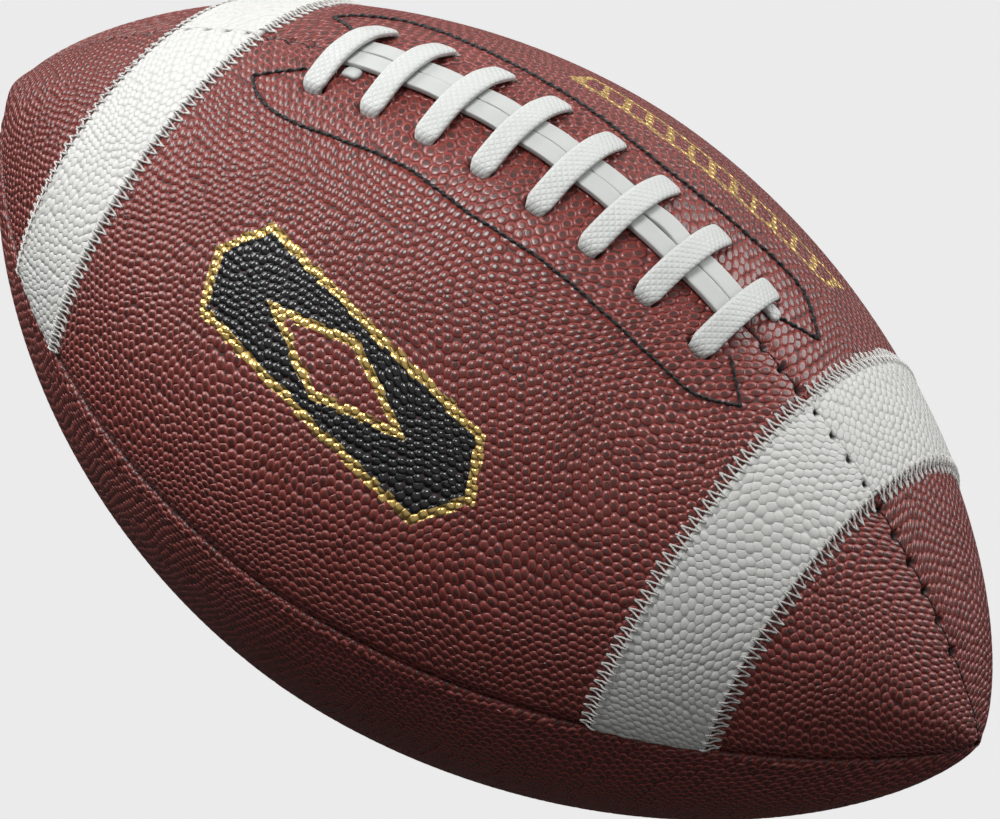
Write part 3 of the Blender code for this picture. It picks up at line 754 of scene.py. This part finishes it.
def stitch_hollows(x, near, middle, reach):
    """Hollows that the stitches of the lacing seam pull beside it."""
    pitch = shape().stitch_pitch
    from_stitch = x - pitch * np.round(x / pitch)
    return hollow(np.hypot(from_stitch / (0.95 * MM), (near - middle) / reach))


def lace_hollows(x, near, radius):
    """Hollows at the lace holes of one panel."""
    laces = bpy.context.scene.football_laces
    across = (near - np.radians(laces.angle) * radius) / laces.hole_width
    spreads = [np.hypot((x - place) / laces.hole_length, across) for place in lace_places()]
    return hollow(np.minimum.reduce(spreads))


def ridge_height(x, seed):
    """Puckers of the gathered leather along a side seam."""
    pucker = 2.8 * MM
    wave = 0.5 + 0.5 * np.cos(2.0 * np.pi * x / pucker)
    return 0.25 + 0.75 * wave * scatter(np.round(x / pucker), seed)


def place_on_panel(mesh, u, turn, x, offset, laced=False):
    """Keep each point's place on its flat panel, with larger pebbles beside the lacing."""
    v = np.radians(turn - 45.0) * skin_radius(x, 45.0)
    if laced:
        along, soft = 60.0 * MM, 5.0 * MM
        u = u - 0.22 * smooth_steps(-v, 20.0 * MM, 55.0 * MM) * along * np.tanh(u / along)
        v = v + 0.26 * soft * np.log1p(np.exp((-v - 36.0 * MM) / soft))
    add_attribute(mesh, "place", "FLOAT_VECTOR", np.stack([u, v, np.full(len(u), offset)], axis=-1))


def make_panel(name, start, mirror, material, columns, rows):
    """One quarter of the skin, from the seam at the start angle, as a closed slab of leather."""
    size = shape()
    laced = start == 0.0
    mesh, unit = unit_slab(name, columns, rows)
    places, travelled = meridian()
    tip = tip_place()
    ends = np.interp([-tip, tip], places, travelled)
    u = ends[0] + (ends[1] - ends[0]) * (unit[:, 0] + 0.5)
    x = np.interp(u, travelled, places)
    shares = panel_columns(rows, 0.5 * np.pi * size.seam_radius)
    turn = 90.0 * np.interp(unit[:, 1] + 0.5, np.arange(rows + 1) / rows, shares)
    angle = start - turn if mirror else start + turn
    outer = unit[:, 2] > -0.5
    radius = skin_radius(x, angle)
    near = np.radians(turn) * radius
    far = np.radians(90.0 - turn) * radius
    reach = np.minimum(near, far)
    first_roll = size.seam_roll * (0.75 * (1.0 + 0.5 * lacing_slit(x)) if laced else 1.0)
    depth = seam_depth(x, near, first_roll, size.stitch_pitch, start)
    far_seed = (start + (-90.0 if mirror else 90.0)) % 360.0
    depth = depth + seam_depth(x, far, size.seam_roll, size.stitch_pitch * 0.9, far_seed)
    relief = smooth_steps(reach, 0.2 * MM, 1.2 * MM)
    # Painted shade mask: 1 in the seam recesses, where the leather colour is darkened.
    recess_shade = 1.0 - smooth_steps(reach, 0.05 * MM, 0.35 * MM)
    if laced:
        crease = 0.62 * MM
        depth = depth + crease * np.exp(-(((far - 0.6 * MM) / (1.6 * MM)) ** 2))
        # Weaker painted shade at the side seam, and painted shade along the crease beside it.
        recess_shade = np.where(near < far, recess_shade, 0.45 * recess_shade)
        recess_shade = np.maximum(recess_shade, 0.35 * (1.0 - smooth_steps(far, 0.2 * MM, 2.8 * MM)))
        holes = lace_hollows(x, near, radius)
        sewn = (1.0 - lacing_slit(x)) * (np.abs(x) < 0.93 * tip)
        stitches = stitch_hollows(x, near, 0.4 * MM, 1.25 * MM) * sewn
        pull = 1.2 * MM
        depth = depth + bpy.context.scene.football_laces.hole_depth * holes + pull * stitches
        relief = relief * (1.0 - holes)
        # The painted shade also fills the lace holes and the stitch hollows.
        recess_shade = np.maximum.reduce([recess_shade, smooth_steps(holes, 0.25, 0.8), stitches])
    else:
        ridge = 0.80 * MM * ridge_height(x, start)
        depth = depth - ridge * np.exp(-(((far - 2.0 * MM) / (1.7 * MM)) ** 2))
        recess_shade = 0.45 * recess_shade
    if not laced and not mirror:
        from_valve = np.hypot(x, np.radians(turn - 45.0) * radius)
        seat_depth = 1.6 * MM
        seat = 1.0 - smooth_steps(from_valve, 2.9 * MM, 4.3 * MM)
        depth = depth + seat_depth * seat
        relief = relief * (1.0 - seat)
    under = np.where(outer, depth, size.leather + 0.4 * MM)
    taper = np.clip((tip - np.abs(x)) / (9.0 * MM), 0.25, 1.0)
    side = np.where(turn < 45.0, 0.01, -0.01) * MM * (-1.0 if mirror else 1.0)
    write_points(mesh, skin_points(x, angle, -under * taper, side))
    place_on_panel(mesh, u, turn, x, start / 180.0 + (0.5 if mirror else 0.0), laced)
    add_attribute(mesh, "relief", "FLOAT", np.where(outer, relief * taper, 0.0))
    add_attribute(mesh, "recess_shade", "FLOAT", np.where(outer, recess_shade, 0.0))
    piece = finish_object(name, mesh, "brown_leather", material, name.replace("leather_", ""))
    raise_pebbles(piece)


def make_stripe(name, end, mirror, material):
    """White strip sewn over a laced panel, from the lacing seam to the side seam."""
    size = shape()
    stripe = bpy.context.scene.football_stripes
    rows, columns = 48, 240
    mesh, unit = unit_slab(name, columns, rows)
    fine = np.array([0.0, 0.1, 0.25, 0.45, 0.7]) * MM / stripe.width
    border = 1.1 * MM / stripe.width
    middle = np.linspace(border, 1.0 - border, rows + 1 - 2 * len(fine))
    shares = np.concatenate([fine, middle, 1.0 - fine[::-1]])
    across = np.interp(unit[:, 1] + 0.5, np.arange(rows + 1) / rows, shares)
    x = end * (stripe.start + stripe.width * across)
    turn = 90.0 * (unit[:, 0] + 0.5)
    angle = -turn if mirror else turn
    outer = unit[:, 2] > -0.5
    radius = skin_radius(x, angle)
    near = np.radians(turn) * radius
    far = np.radians(90.0 - turn) * radius
    edge = np.minimum(across, 1.0 - across) * stripe.width
    depth = 0.4 * seam_depth(x, near, 0.3 * size.seam_roll, size.stitch_pitch, 0.0)
    depth = depth + seam_depth(x, far, size.seam_roll, size.stitch_pitch * 0.9, 90.0)
    corner = 0.75 * MM
    inside = np.clip(1.0 - edge / corner, 0.0, 1.0)
    rounded = corner * (1.0 - np.sqrt(1.0 - inside**2))
    pull = 0.5 + 0.5 * np.cos(2.0 * np.pi * near / stripe.zigzag_pitch)
    sunk = 0.22 * MM * pull * np.exp(-(((edge - stripe.zigzag_in) / (0.8 * MM)) ** 2))
    stitches = stitch_hollows(x, near, 0.5 * MM, 1.3 * MM) * (not mirror)
    depth = depth + rounded + sunk + 1.0 * MM * stitches
    height = np.where(outer, stripe.top - depth, -0.45 * MM)
    side = np.where(turn < 45.0, 0.03, -0.03) * MM * (-1.0 if mirror else 1.0)
    write_points(mesh, skin_points(x, angle, height, side))
    places, travelled = meridian()
    place_on_panel(mesh, np.interp(x, places, travelled), turn, x, 3.5 if mirror else 3.0)
    relief = smooth_steps(np.minimum(near, far), 0.1 * MM, 0.9 * MM) * smooth_steps(edge, 0.2 * MM, 1.0 * MM)
    add_attribute(mesh, "relief", "FLOAT", np.where(outer, relief * (1.0 - stitches), 0.0))
    # Painted shade in the stitch hollows and at the side seam.
    recess_shade = np.maximum(stitches, 0.35 * (1.0 - smooth_steps(far, 0.02 * MM, 0.3 * MM)))
    add_attribute(mesh, "recess_shade", "FLOAT", np.where(outer, recess_shade, 0.0))
    piece = finish_object(name, mesh, "white_leather", material, name.replace("white_", ""))
    raise_pebbles(piece)


class FOOTBALL_OT_panels(bpy.types.Operator):
    """Build the four pebbled leather panels"""

    bl_idname = "football.panels"
    bl_label = "Leather Panels"

    def execute(self, context):
        plain = material_once("pebbled_leather", brown_leather)
        badge = material_once("badge_leather", brown_leather, stamped_badge)
        band = material_once("band_leather", brown_leather, stamped_band)
        make_panel("leather_panel_upper_front", 0.0, False, badge, 496, 184)
        make_panel("leather_panel_upper_rear", 0.0, True, band, 496, 184)
        make_panel("leather_panel_lower_front", 180.0, True, plain, 504, 160)
        make_panel("leather_panel_lower_rear", 180.0, False, plain, 504, 160)
        return {"FINISHED"}


STRIPES = (
    ("fore_front", 1.0, False),
    ("fore_rear", 1.0, True),
    ("aft_front", -1.0, False),
    ("aft_rear", -1.0, True),
)


class FOOTBALL_OT_stripes(bpy.types.Operator):
    """Build the four white stripes"""

    bl_idname = "football.stripes"
    bl_label = "White Stripes"

    def execute(self, context):
        white = material_once("white_pebbled_leather", white_leather)
        for name, end, mirror in STRIPES:
            make_stripe(f"white_stripe_{name}", end, mirror, white)
        return {"FINISHED"}


def make_zigzag(place_name, end, mirror, edge_place, inward, material):
    """White thread sewn to and fro across one edge of a stripe."""
    stripe = bpy.context.scene.football_stripes
    belly = 0.5 * np.pi * float(skin_radius(np.array(edge_place), 45.0))
    legs = 2 * int((belly - 2.0 * MM) / stripe.zigzag_pitch)
    per_leg = 9
    count = legs * per_leg
    step = np.arange(count + 1)
    leg = step / per_leg
    whole = np.floor(leg)
    share = leg - whole
    outward = np.where(whole % 2 == 0, share, 1.0 - share)
    lean = scatter(np.floor((leg + 1.0) / 2.0), edge_place * 1000.0 + mirror)
    reach_out = stripe.zigzag_out * (0.82 + 0.3 * lean)
    reach = stripe.zigzag_in - (stripe.zigzag_in + reach_out) * outward
    x = end * (edge_place + inward * reach)
    spot = 1.0 * MM + (belly - 2.0 * MM) * leg / legs
    turn = 90.0 * spot / belly
    angle = -turn if mirror else turn
    over = stripe.top * smooth_steps(reach, -1.1 * MM, 0.1 * MM)
    ends = np.minimum(outward, 1.0 - outward)
    height = over + stripe.thread * 0.7 - 0.5 * MM * (1.0 - smooth_steps(ends, 0.0, 0.12))
    path = skin_points(x, angle, height)
    normals = skin_normals(x, angle)
    tangents = np.gradient(path, axis=0)
    across = np.cross(tangents, normals)
    section = twisted_section(stripe.thread, step * 1.1)
    node = f"stripe_stitch_{place_name}"
    sweep(f"zigzag_{place_name}", path, across, section, "white_thread", material, node)


class FOOTBALL_OT_stripe_stitches(bpy.types.Operator):
    """Sew the zigzag threads along the edges of the stripes"""

    bl_idname = "football.stripe_stitches"
    bl_label = "Stripe Stitches"

    def execute(self, context):
        stripe = context.scene.football_stripes
        white = material_once("white_thread_fibre", thread_finish, (0.74, 0.73, 0.70), 0.6, 0.2)
        edges = (("inner", stripe.start, 1.0), ("outer", stripe.start + stripe.width, -1.0))
        for name, end, mirror in STRIPES:
            for edge_name, place, inward in edges:
                make_zigzag(f"{name}_{edge_name}", end, mirror, place, inward, white)
        return {"FINISHED"}


# ---------------------------------------------------------------- lacing


def make_cross_lace(number, x, material):
    """One arched cross lace, gathered where it goes down through the leather."""
    laces = bpy.context.scene.football_laces
    lift = 0.3 * MM + laces.run_thickness + 0.55 * laces.thickness
    half_angles = np.array([0.0, 3.2, 5.6, 7.6, 9.2, 10.5, 11.0, 11.1, 11.1]) * laces.angle / 10.7
    arch = [lift + rise * MM for rise in (0.5, 0.4, -0.35)]
    foot = [rise * MM for rise in (1.75, 1.2, 0.7, -0.2, -1.3, -2.4)]
    half_heights = np.array(arch + foot)
    knots = np.concatenate([-half_angles[:0:-1], half_angles])
    heights = np.concatenate([half_heights[:0:-1], half_heights])
    fine = np.linspace(0.0, len(knots) - 1.0, 97)
    kernel = np.exp(-0.5 * (np.arange(-9, 10) / 4.0) ** 2)
    kernel /= kernel.sum()
    angle = np.interp(fine, np.arange(len(knots)), knots)
    height = np.interp(fine, np.arange(len(knots)), heights)
    angle = np.convolve(np.pad(angle, 9, "edge"), kernel, "valid")
    height = np.convolve(np.pad(height, 9, "edge"), kernel, "valid")
    sway = (scatter(number, 3.0) - 0.5) * 0.5 * MM
    lean = (scatter(number, 5.0) - 0.5) * 0.7 * MM
    drift = sway + lean * angle / laces.angle
    path = skin_points(x + drift, angle, height)
    half = 0.5 * MM
    across = skin_points(x + drift + half, angle, height) - skin_points(x + drift - half, angle, height)
    gather = smooth_steps(np.abs(angle), 0.86 * laces.angle, 1.07 * laces.angle)
    widths = laces.width * np.sqrt(1.0 - 0.45 * gather * gather)
    depths = laces.thickness * (1.0 + 0.2 * gather)
    section = np.stack([
        strap_section(width, depth, 32, 0.12 * MM, 3.2 - 0.7 * share)
        for width, depth, share in zip(widths, depths, gather)
    ])
    node = f"cross_lace_{number + 1}"
    sweep(f"woven_lace_{number + 1}", path, across, section, "white_lace", material, node)


def make_run(name, side, material, node):
    """One long flat lace under the cross laces, bulging a little between them."""
    laces = bpy.context.scene.football_laces
    lacing = lace_places()
    x = np.linspace(lacing[0] - 2.0 * MM, lacing[-1] + 2.0 * MM, 260)
    phase = (x - lacing[0]) / laces.pitch
    between = 0.5 - 0.5 * np.cos(2.0 * np.pi * phase)
    gap = np.floor(phase)
    loose = scatter(gap, side * 4.0 + 9.0)
    opened = between * (0.02 + 0.06 * loose + (0.6 if side > 0 else 0.1) * (gap == 5)) * MM
    y = side * (0.5 * laces.run_width + 0.02 * MM + opened)
    lift = 0.25 * MM + 0.5 * laces.run_thickness + between * (0.25 + 0.25 * loose) * MM
    ends = np.minimum(x - x[0], x[-1] - x)
    lift = lift - 1.3 * MM * (1.0 - smooth_steps(ends, 0.0, 3.5 * MM))
    height = skin_radius(x, 0.0) + lift
    path = np.stack([x, y, height], axis=-1)
    tilt = side * (0.05 + 0.05 * loose * between)
    across = np.stack([np.zeros_like(x), np.ones_like(x), -tilt], axis=-1)
    section = strap_section(laces.run_width, laces.run_thickness, 32, 0.06 * MM, 7.0)
    sweep(name, path, across, section, "white_lace", material, node)


class FOOTBALL_OT_laces(bpy.types.Operator):
    """Build the cross laces, the long laces under them and their tucked ends"""

    bl_idname = "football.laces"
    bl_label = "Laces"

    def execute(self, context):
        woven = material_once("woven_vinyl_lace", lace_finish, True)
        plain = material_once("smooth_vinyl_lace", lace_finish, False)
        for number, x in enumerate(lace_places()):
            make_cross_lace(number, x, woven)
        make_run("long_lace_front", -1.0, plain, "lace_run_front")
        make_run("long_lace_rear", 1.0, plain, "lace_run_rear")
        self.tucked_end("tucked_end_fore", "lace_end_fore", woven)
        self.tucked_end("tucked_end_aft", "lace_end_aft", plain)
        return {"FINISHED"}

    def tucked_end(self, name, node, material):
        """Folded lace end, lying beside its own cross lace and half under it."""
        low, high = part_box(node)
        middle = 0.5 * (Vector(low) + Vector(high))
        toward_lace = -2.0 * MM if middle.x > 0.0 else -0.6 * MM
        from_seam = 1.4 * MM if middle.x > 0.0 else 0.35 * MM
        steps = np.linspace(0.0, 1.0, 24)
        x = middle.x + toward_lace + (steps - 0.5) * 4.4 * MM
        y = np.full(24, middle.y + from_seam)
        angle = -np.degrees(np.arcsin(y / skin_radius(x, 5.0)))
        path = skin_points(x, angle, 0.15 * MM + 0.35 * MM * np.sin(np.pi * steps))
        turned = np.radians(angle)
        level = np.stack([np.zeros(24), -np.cos(turned), -np.sin(turned)], axis=-1)
        taper = np.sqrt(np.clip(1.0 - (2.0 * steps - 1.0) ** 6, 0.1, 1.0))
        width, depth = 3.4 * MM, 1.6 * MM
        section = np.stack([strap_section(width * share, depth * share, 20, 0.0, 3.0) for share in taper])
        sweep(name, path, level, section, "white_lace", material, node)


# ---------------------------------------------------------------- threads on the leather


def outline_path(side):
    """Smooth outline of the reinforcing strip beside the lacing, as places and angles."""
    stripe = bpy.context.scene.football_stripes
    lacing = lace_places()
    first, last = lacing[0], lacing[-1]
    aft = first - 0.63 * (stripe.start + first)
    fore = last + 0.63 * (stripe.start - last)
    inner = [first + (last - first) * share for share in (0.0, 0.15, 0.32, 0.5, 0.68, 0.85, 1.0)]
    front = [24.6, 25.0, 24.6, 26.4, 24.8, 24.6, 23.2]
    rear = [24.0, 23.2, 21.6, 20.4, 19.4, 22.0, 24.2]
    corners = [(0.35 * aft + 0.65 * first, 9.0), (aft, 15.0), (0.65 * aft + 0.35 * first, 20.5)]
    corners += list(zip(inner, front if side > 0 else rear))
    corners += [(0.5 * (fore + last), 21.5), (fore, 15.5), (0.4 * fore + 0.6 * last, 9.0)]
    return np.array([[x, reach * MM] for x, reach in corners])


def rounded_line(corners, sharp):
    """Smooth line through the corners, broken at the sharp ones."""
    fine = []
    for number in range(len(corners) - 1):
        start, stop = corners[number], corners[number + 1]
        before = start if number in sharp else corners[max(number - 1, 0)]
        after = stop if number + 1 in sharp else corners[min(number + 2, len(corners) - 1)]
        for share in np.linspace(0.0, 1.0, 40, endpoint=False):
            square, cube = share * share, share**3
            fine.append(
                0.5 * (2.0 * start + (stop - before) * share
                       + (2.0 * before - 5.0 * start + 4.0 * stop - after) * square
                       + (3.0 * start - before - 3.0 * stop + after) * cube)
            )
    return np.array(fine + [corners[-1]])


def make_outline(name, side, node, material):
    """Black lock stitches of twisted thread along the outline."""
    outline = bpy.context.scene.football_outline
    corners = outline_path(side)
    fine = rounded_line(corners, {1, len(corners) - 2})
    travelled = np.concatenate([[0.0], np.cumsum(np.linalg.norm(np.diff(fine, axis=0), axis=1))])
    count = int(travelled[-1] / (0.25 * MM))
    spots = np.linspace(0.0, travelled[-1], count)
    x = np.interp(spots, travelled, fine[:, 0])
    reach = np.interp(spots, travelled, fine[:, 1])
    wander = 0.12 * MM * np.sin(spots / (5.3 * MM)) + 0.08 * MM * np.sin(spots / (1.9 * MM) + side)
    angle = side * np.degrees((reach + wander) / skin_radius(x, 15.0))
    phase = spots / outline.pitch
    arch = np.abs(np.sin(np.pi * phase))
    height = -0.28 * MM + (0.28 * MM + 0.8 * outline.radius) * arch**0.45
    path = skin_points(x, angle, height)
    across = np.cross(np.gradient(path, axis=0), skin_normals(x, angle))
    swell = 0.72 + 0.28 * arch
    section = twisted_section(outline.radius, np.pi * spots / outline.ply_pitch, 10, 0.3)
    section = section * swell[:, None, None]
    sweep(name, path, across, section, "black_thread", material, node)


class FOOTBALL_OT_outline_stitches(bpy.types.Operator):
    """Sew the black outline of each reinforcing strip"""

    bl_idname = "football.outline_stitches"
    bl_label = "Outline Stitches"

    def execute(self, context):
        black = material_once("black_waxed_thread", thread_finish, (0.012, 0.012, 0.013), 0.38, 0.3)
        make_outline("outline_thread_front", 1.0, "outline_stitch_front", black)
        make_outline("outline_thread_rear", -1.0, "outline_stitch_rear", black)
        return {"FINISHED"}


# ---------------------------------------------------------------- inside and valve


def fabric_finish(name, tint):
    """Plain woven lining cloth."""
    finish = Finish(name, Sheen_Weight=0.3)
    tree = finish.tree
    world = object_place(tree)
    x, y, z = split(tree, world)
    pitch = 2.0 * math.pi / (0.9 * MM)
    weave = (x * pitch).wave() * ((y + z) * pitch).wave() * 0.5 + 0.5
    soil = noise(tree, world, 60.0, 3.0)
    base = mixed(tree, weave * 0.4 + soil * 0.3, tint, shade(tint, 0.6))
    finish.cover(base, 0.8 + soil * 0.15, weave, 0.15 * MM)
    return finish.material


def rubber_finish(name, tint):
    """Moulded rubber with a faint bloom."""
    finish = Finish(name, Specular_IOR_Level=0.4)
    tree = finish.tree
    world = object_place(tree)
    bloom = noise(tree, world, 120.0, 4.0)
    grain = noise(tree, world, 1800.0, 2.0)
    dusty = [part * 1.8 + 0.02 for part in tint]
    base = mixed(tree, bloom.step(0.4, 0.8) * 0.4, tint, dusty)
    finish.cover(base, 0.5 + grain * 0.2, grain, 0.04 * MM)
    return finish.material


def suede_finish(name, tint):
    """Unfinished leather of the hidden strips."""
    finish = Finish(name, Sheen_Weight=0.4)
    tree = finish.tree
    world = object_place(tree)
    nap = noise(tree, world, 700.0, 5.0)
    patches = noise(tree, world, 40.0, 3.0)
    base = mixed(tree, nap * 0.5 + patches * 0.3, tint, shade(tint, 0.5))
    finish.cover(base, 0.75 + nap * 0.2, nap, 0.12 * MM)
    return finish.material


def waxed_thread_finish(name, tint):
    """Heavy waxed seam thread, seen only inside the ball."""
    finish = Finish(name, Sheen_Weight=0.2)
    tree = finish.tree
    world = object_place(tree)
    x, y, z = split(tree, world)
    plies = ((x + y + z) * (2.0 * math.pi / (1.1 * MM))).wave() * 0.5 + 0.5
    grain = noise(tree, world, 2500.0, 2.0)
    base = mixed(tree, plies * 0.5 + grain * 0.2, tint, shade(tint, 0.4))
    finish.cover(base, 0.5 + grain * 0.2, plies, 0.15 * MM)
    return finish.material


class FOOTBALL_OT_inside(bpy.types.Operator):
    """Give the parts inside the ball their own finishes"""

    bl_idname = "football.inside"
    bl_label = "Inner Parts"

    def execute(self, context):
        suede = material_once("backing_suede", suede_finish, (0.10, 0.05, 0.035))
        finishes = {
            "lining": material_once("lining_cloth", fabric_finish, (0.50, 0.48, 0.43)),
            "lace_backing": suede,
            "bladder_guard": suede,
            "seam_thread": material_once("waxed_seam_thread", waxed_thread_finish, (0.12, 0.05, 0.04)),
            "bladder": material_once("bladder_rubber_moulded", rubber_finish, (0.03, 0.03, 0.035)),
            "valve_core": material_once("valve_core_rubber_moulded", rubber_finish, (0.45, 0.36, 0.25)),
        }
        for name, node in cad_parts.items():
            for start in sorted(finishes, key=len, reverse=True):
                if name.startswith(start):
                    for slot in node.material_slots:
                        slot.material = finishes[start]
                    break
        return {"FINISHED"}


class FOOTBALL_OT_valve(bpy.types.Operator):
    """Turn the valve with its needle hole"""

    bl_idname = "football.valve"
    bl_label = "Inflation Valve"

    def execute(self, context):
        origin = Vector(skin_points(0.0, 225.0))
        axis = Vector(skin_normals(0.0, 225.0))
        profile = [
            (0.5, -1.2), (0.5, 0.12), (0.75, 0.30), (1.5, 0.34), (2.2, 0.30),
            (2.4, 0.10), (2.7, 0.12), (2.95, 0.30), (3.2, 0.22), (3.3, 0.0),
            (3.3, -7.2), (8.0, -7.2), (8.0, -8.4), (2.6, -8.4), (2.6, -1.2),
        ]
        turned = bmesh.new()
        verts = [turned.verts.new(Vector((radius * MM, 0.0, height * MM))) for radius, height in profile]
        edges = [turned.edges.new((verts[place - 1], verts[place])) for place in range(len(verts))]
        geometry = verts + edges
        bmesh.ops.spin(turned, geom=geometry, cent=(0, 0, 0), axis=(0, 0, 1), dvec=(0, 0, 0),
                       angle=2.0 * math.pi, steps=64, use_merge=True)
        bmesh.ops.remove_doubles(turned, verts=turned.verts, dist=1e-6)
        bmesh.ops.recalc_face_normals(turned, faces=turned.faces)
        place = Matrix.Translation(origin) @ axis.to_track_quat("Z", "Y").to_matrix().to_4x4()
        bmesh.ops.transform(turned, matrix=place, verts=turned.verts)
        rubber = material_once("valve_rubber_moulded", rubber_finish, (0.03, 0.03, 0.03))
        finish_mesh("needle_valve", turned, "valve_rubber", rubber, "valve_housing")
        return {"FINISHED"}


# ---------------------------------------------------------------- stage


class FOOTBALL_OT_stage(bpy.types.Operator):
    """Set out the floor, the soft lights, the surroundings and the camera"""

    bl_idname = "football.stage"
    bl_label = "Stage"

    def execute(self, context):
        look = context.scene.football_stage
        self.floor(look)
        self.area("overhead_light", (-0.53, -0.25, 1.44), 0.72, look.key)
        self.area("side_light", (-1.50, 0.05, 0.42), 1.1, look.side)
        self.area("back_light", (0.5, 1.5, 0.9), 1.3, look.back)
        self.surroundings(context, look)
        self.camera(context, look)
        context.scene.view_settings.view_transform = "Standard"
        return {"FINISHED"}

    def floor(self, look):
        sheet = bmesh.new()
        bmesh.ops.create_grid(sheet, x_segments=2, y_segments=2, size=6.0)
        clearance = 0.2 * MM
        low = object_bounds()[0][2] - clearance
        bmesh.ops.translate(sheet, verts=sheet.verts, vec=(0.0, 0.0, low))
        mesh = bpy.data.meshes.new("floor")
        sheet.to_mesh(mesh)
        sheet.free()
        floor = bpy.data.objects.new("floor", mesh)
        bpy.context.collection.objects.link(floor)
        finish = Finish("plain_floor", Base_Color=(0.0, 0.0, 0.0, 1.0), Specular_IOR_Level=0.0, Roughness=1.0)
        finish.shader.inputs["Emission Color"].default_value = (*look.floor, 1.0)
        finish.shader.inputs["Emission Strength"].default_value = 1.0
        mesh.materials.append(finish.material)
        floor.visible_diffuse = False
        floor.visible_glossy = False
        floor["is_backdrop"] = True

    def area(self, name, place, size, power):
        light = bpy.data.lights.new(name, "AREA")
        light.shape = "DISK"
        light.size = size
        light.energy = power
        lamp = bpy.data.objects.new(name, light)
        lamp.location = place
        lamp.rotation_euler = (-Vector(place)).to_track_quat("-Z", "Y").to_euler()
        bpy.context.collection.objects.link(lamp)

    def surroundings(self, context, look):
        world = bpy.data.worlds.new("studio")
        world.use_nodes = True
        tree = world.node_tree
        where = add_node(tree, "ShaderNodeTexCoord", output="Generated")
        _, behind, up = split(tree, where)
        bright = up.step(-0.25, 0.45).most(behind.step(0.05, 0.65) * up.step(-0.45, 0.05) * 2.2)
        glow = mixed(tree, bright, (0.10, 0.10, 0.10), (1.0, 1.0, 1.0))
        tree.links.new(glow.socket, tree.nodes["Background"].inputs["Color"])
        tree.nodes["Background"].inputs["Strength"].default_value = look.sky
        context.scene.world = world

    def camera(self, context, look):
        lens = bpy.data.cameras.new("camera")
        lens.lens = look.focal
        lens.sensor_width = 36.0
        lens.shift_x = 0.0201
        lens.shift_y = -0.0209
        camera = bpy.data.objects.new("camera", lens)
        azimuth, elevation, roll = math.radians(27.87), math.radians(44.24), math.radians(14.08)
        ahead = Vector((
            -math.sin(azimuth) * math.cos(elevation),
            math.cos(azimuth) * math.cos(elevation),
            -math.sin(elevation),
        ))
        aim = ahead.to_track_quat("-Z", "Y").to_matrix().to_4x4() @ Matrix.Rotation(roll, 4, "Z")
        eye = (0.4786, -0.9076, 1.0041)
        camera.matrix_world = Matrix.Translation(eye) @ aim
        bpy.context.collection.objects.link(camera)
        context.scene.camera = camera


# ---------------------------------------------------------------- panel and registration


OPERATORS = (
    FOOTBALL_OT_stage,
    FOOTBALL_OT_panels,
    FOOTBALL_OT_stripes,
    FOOTBALL_OT_stripe_stitches,
    FOOTBALL_OT_laces,
    FOOTBALL_OT_outline_stitches,
    FOOTBALL_OT_valve,
    FOOTBALL_OT_inside,
)

SETTINGS = {
    "football_shape": BallShape,
    "football_pebbles": PebbleLook,
    "football_stripes": StripeShape,
    "football_laces": LaceShape,
    "football_outline": OutlineShape,
    "football_badge": BadgeShape,
    "football_stage": StageLook,
}


class FOOTBALL_PT_sidebar(bpy.types.Panel):
    """Lists the pieces of the ball and the stage"""

    bl_idname = "FOOTBALL_PT_sidebar"
    bl_label = "Laced Football"
    bl_space_type = "VIEW_3D"
    bl_region_type = "UI"
    bl_category = "Football"

    def draw(self, context):
        for operator in OPERATORS:
            self.layout.operator(operator.bl_idname)
        for name in SETTINGS:
            box = self.layout.box()
            group = getattr(context.scene, name)
            for field in group.bl_rna.properties:
                if field.identifier not in {"rna_type", "name"}:
                    box.prop(group, field.identifier)


def register():
    for name, group in SETTINGS.items():
        bpy.utils.register_class(group)
        setattr(bpy.types.Scene, name, PointerProperty(type=group))
    for operator in OPERATORS:
        bpy.utils.register_class(operator)
    bpy.utils.register_class(FOOTBALL_PT_sidebar)


def unregister():
    bpy.utils.unregister_class(FOOTBALL_PT_sidebar)
    for operator in reversed(OPERATORS):
        bpy.utils.unregister_class(operator)
    for name, group in reversed(SETTINGS.items()):
        delattr(bpy.types.Scene, name)
        bpy.utils.unregister_class(group)


def main():
    register()
    for operator in OPERATORS:
        family, name = operator.bl_idname.split(".")
        getattr(getattr(bpy.ops, family), name)()


if __name__ == "__main__":
    main()
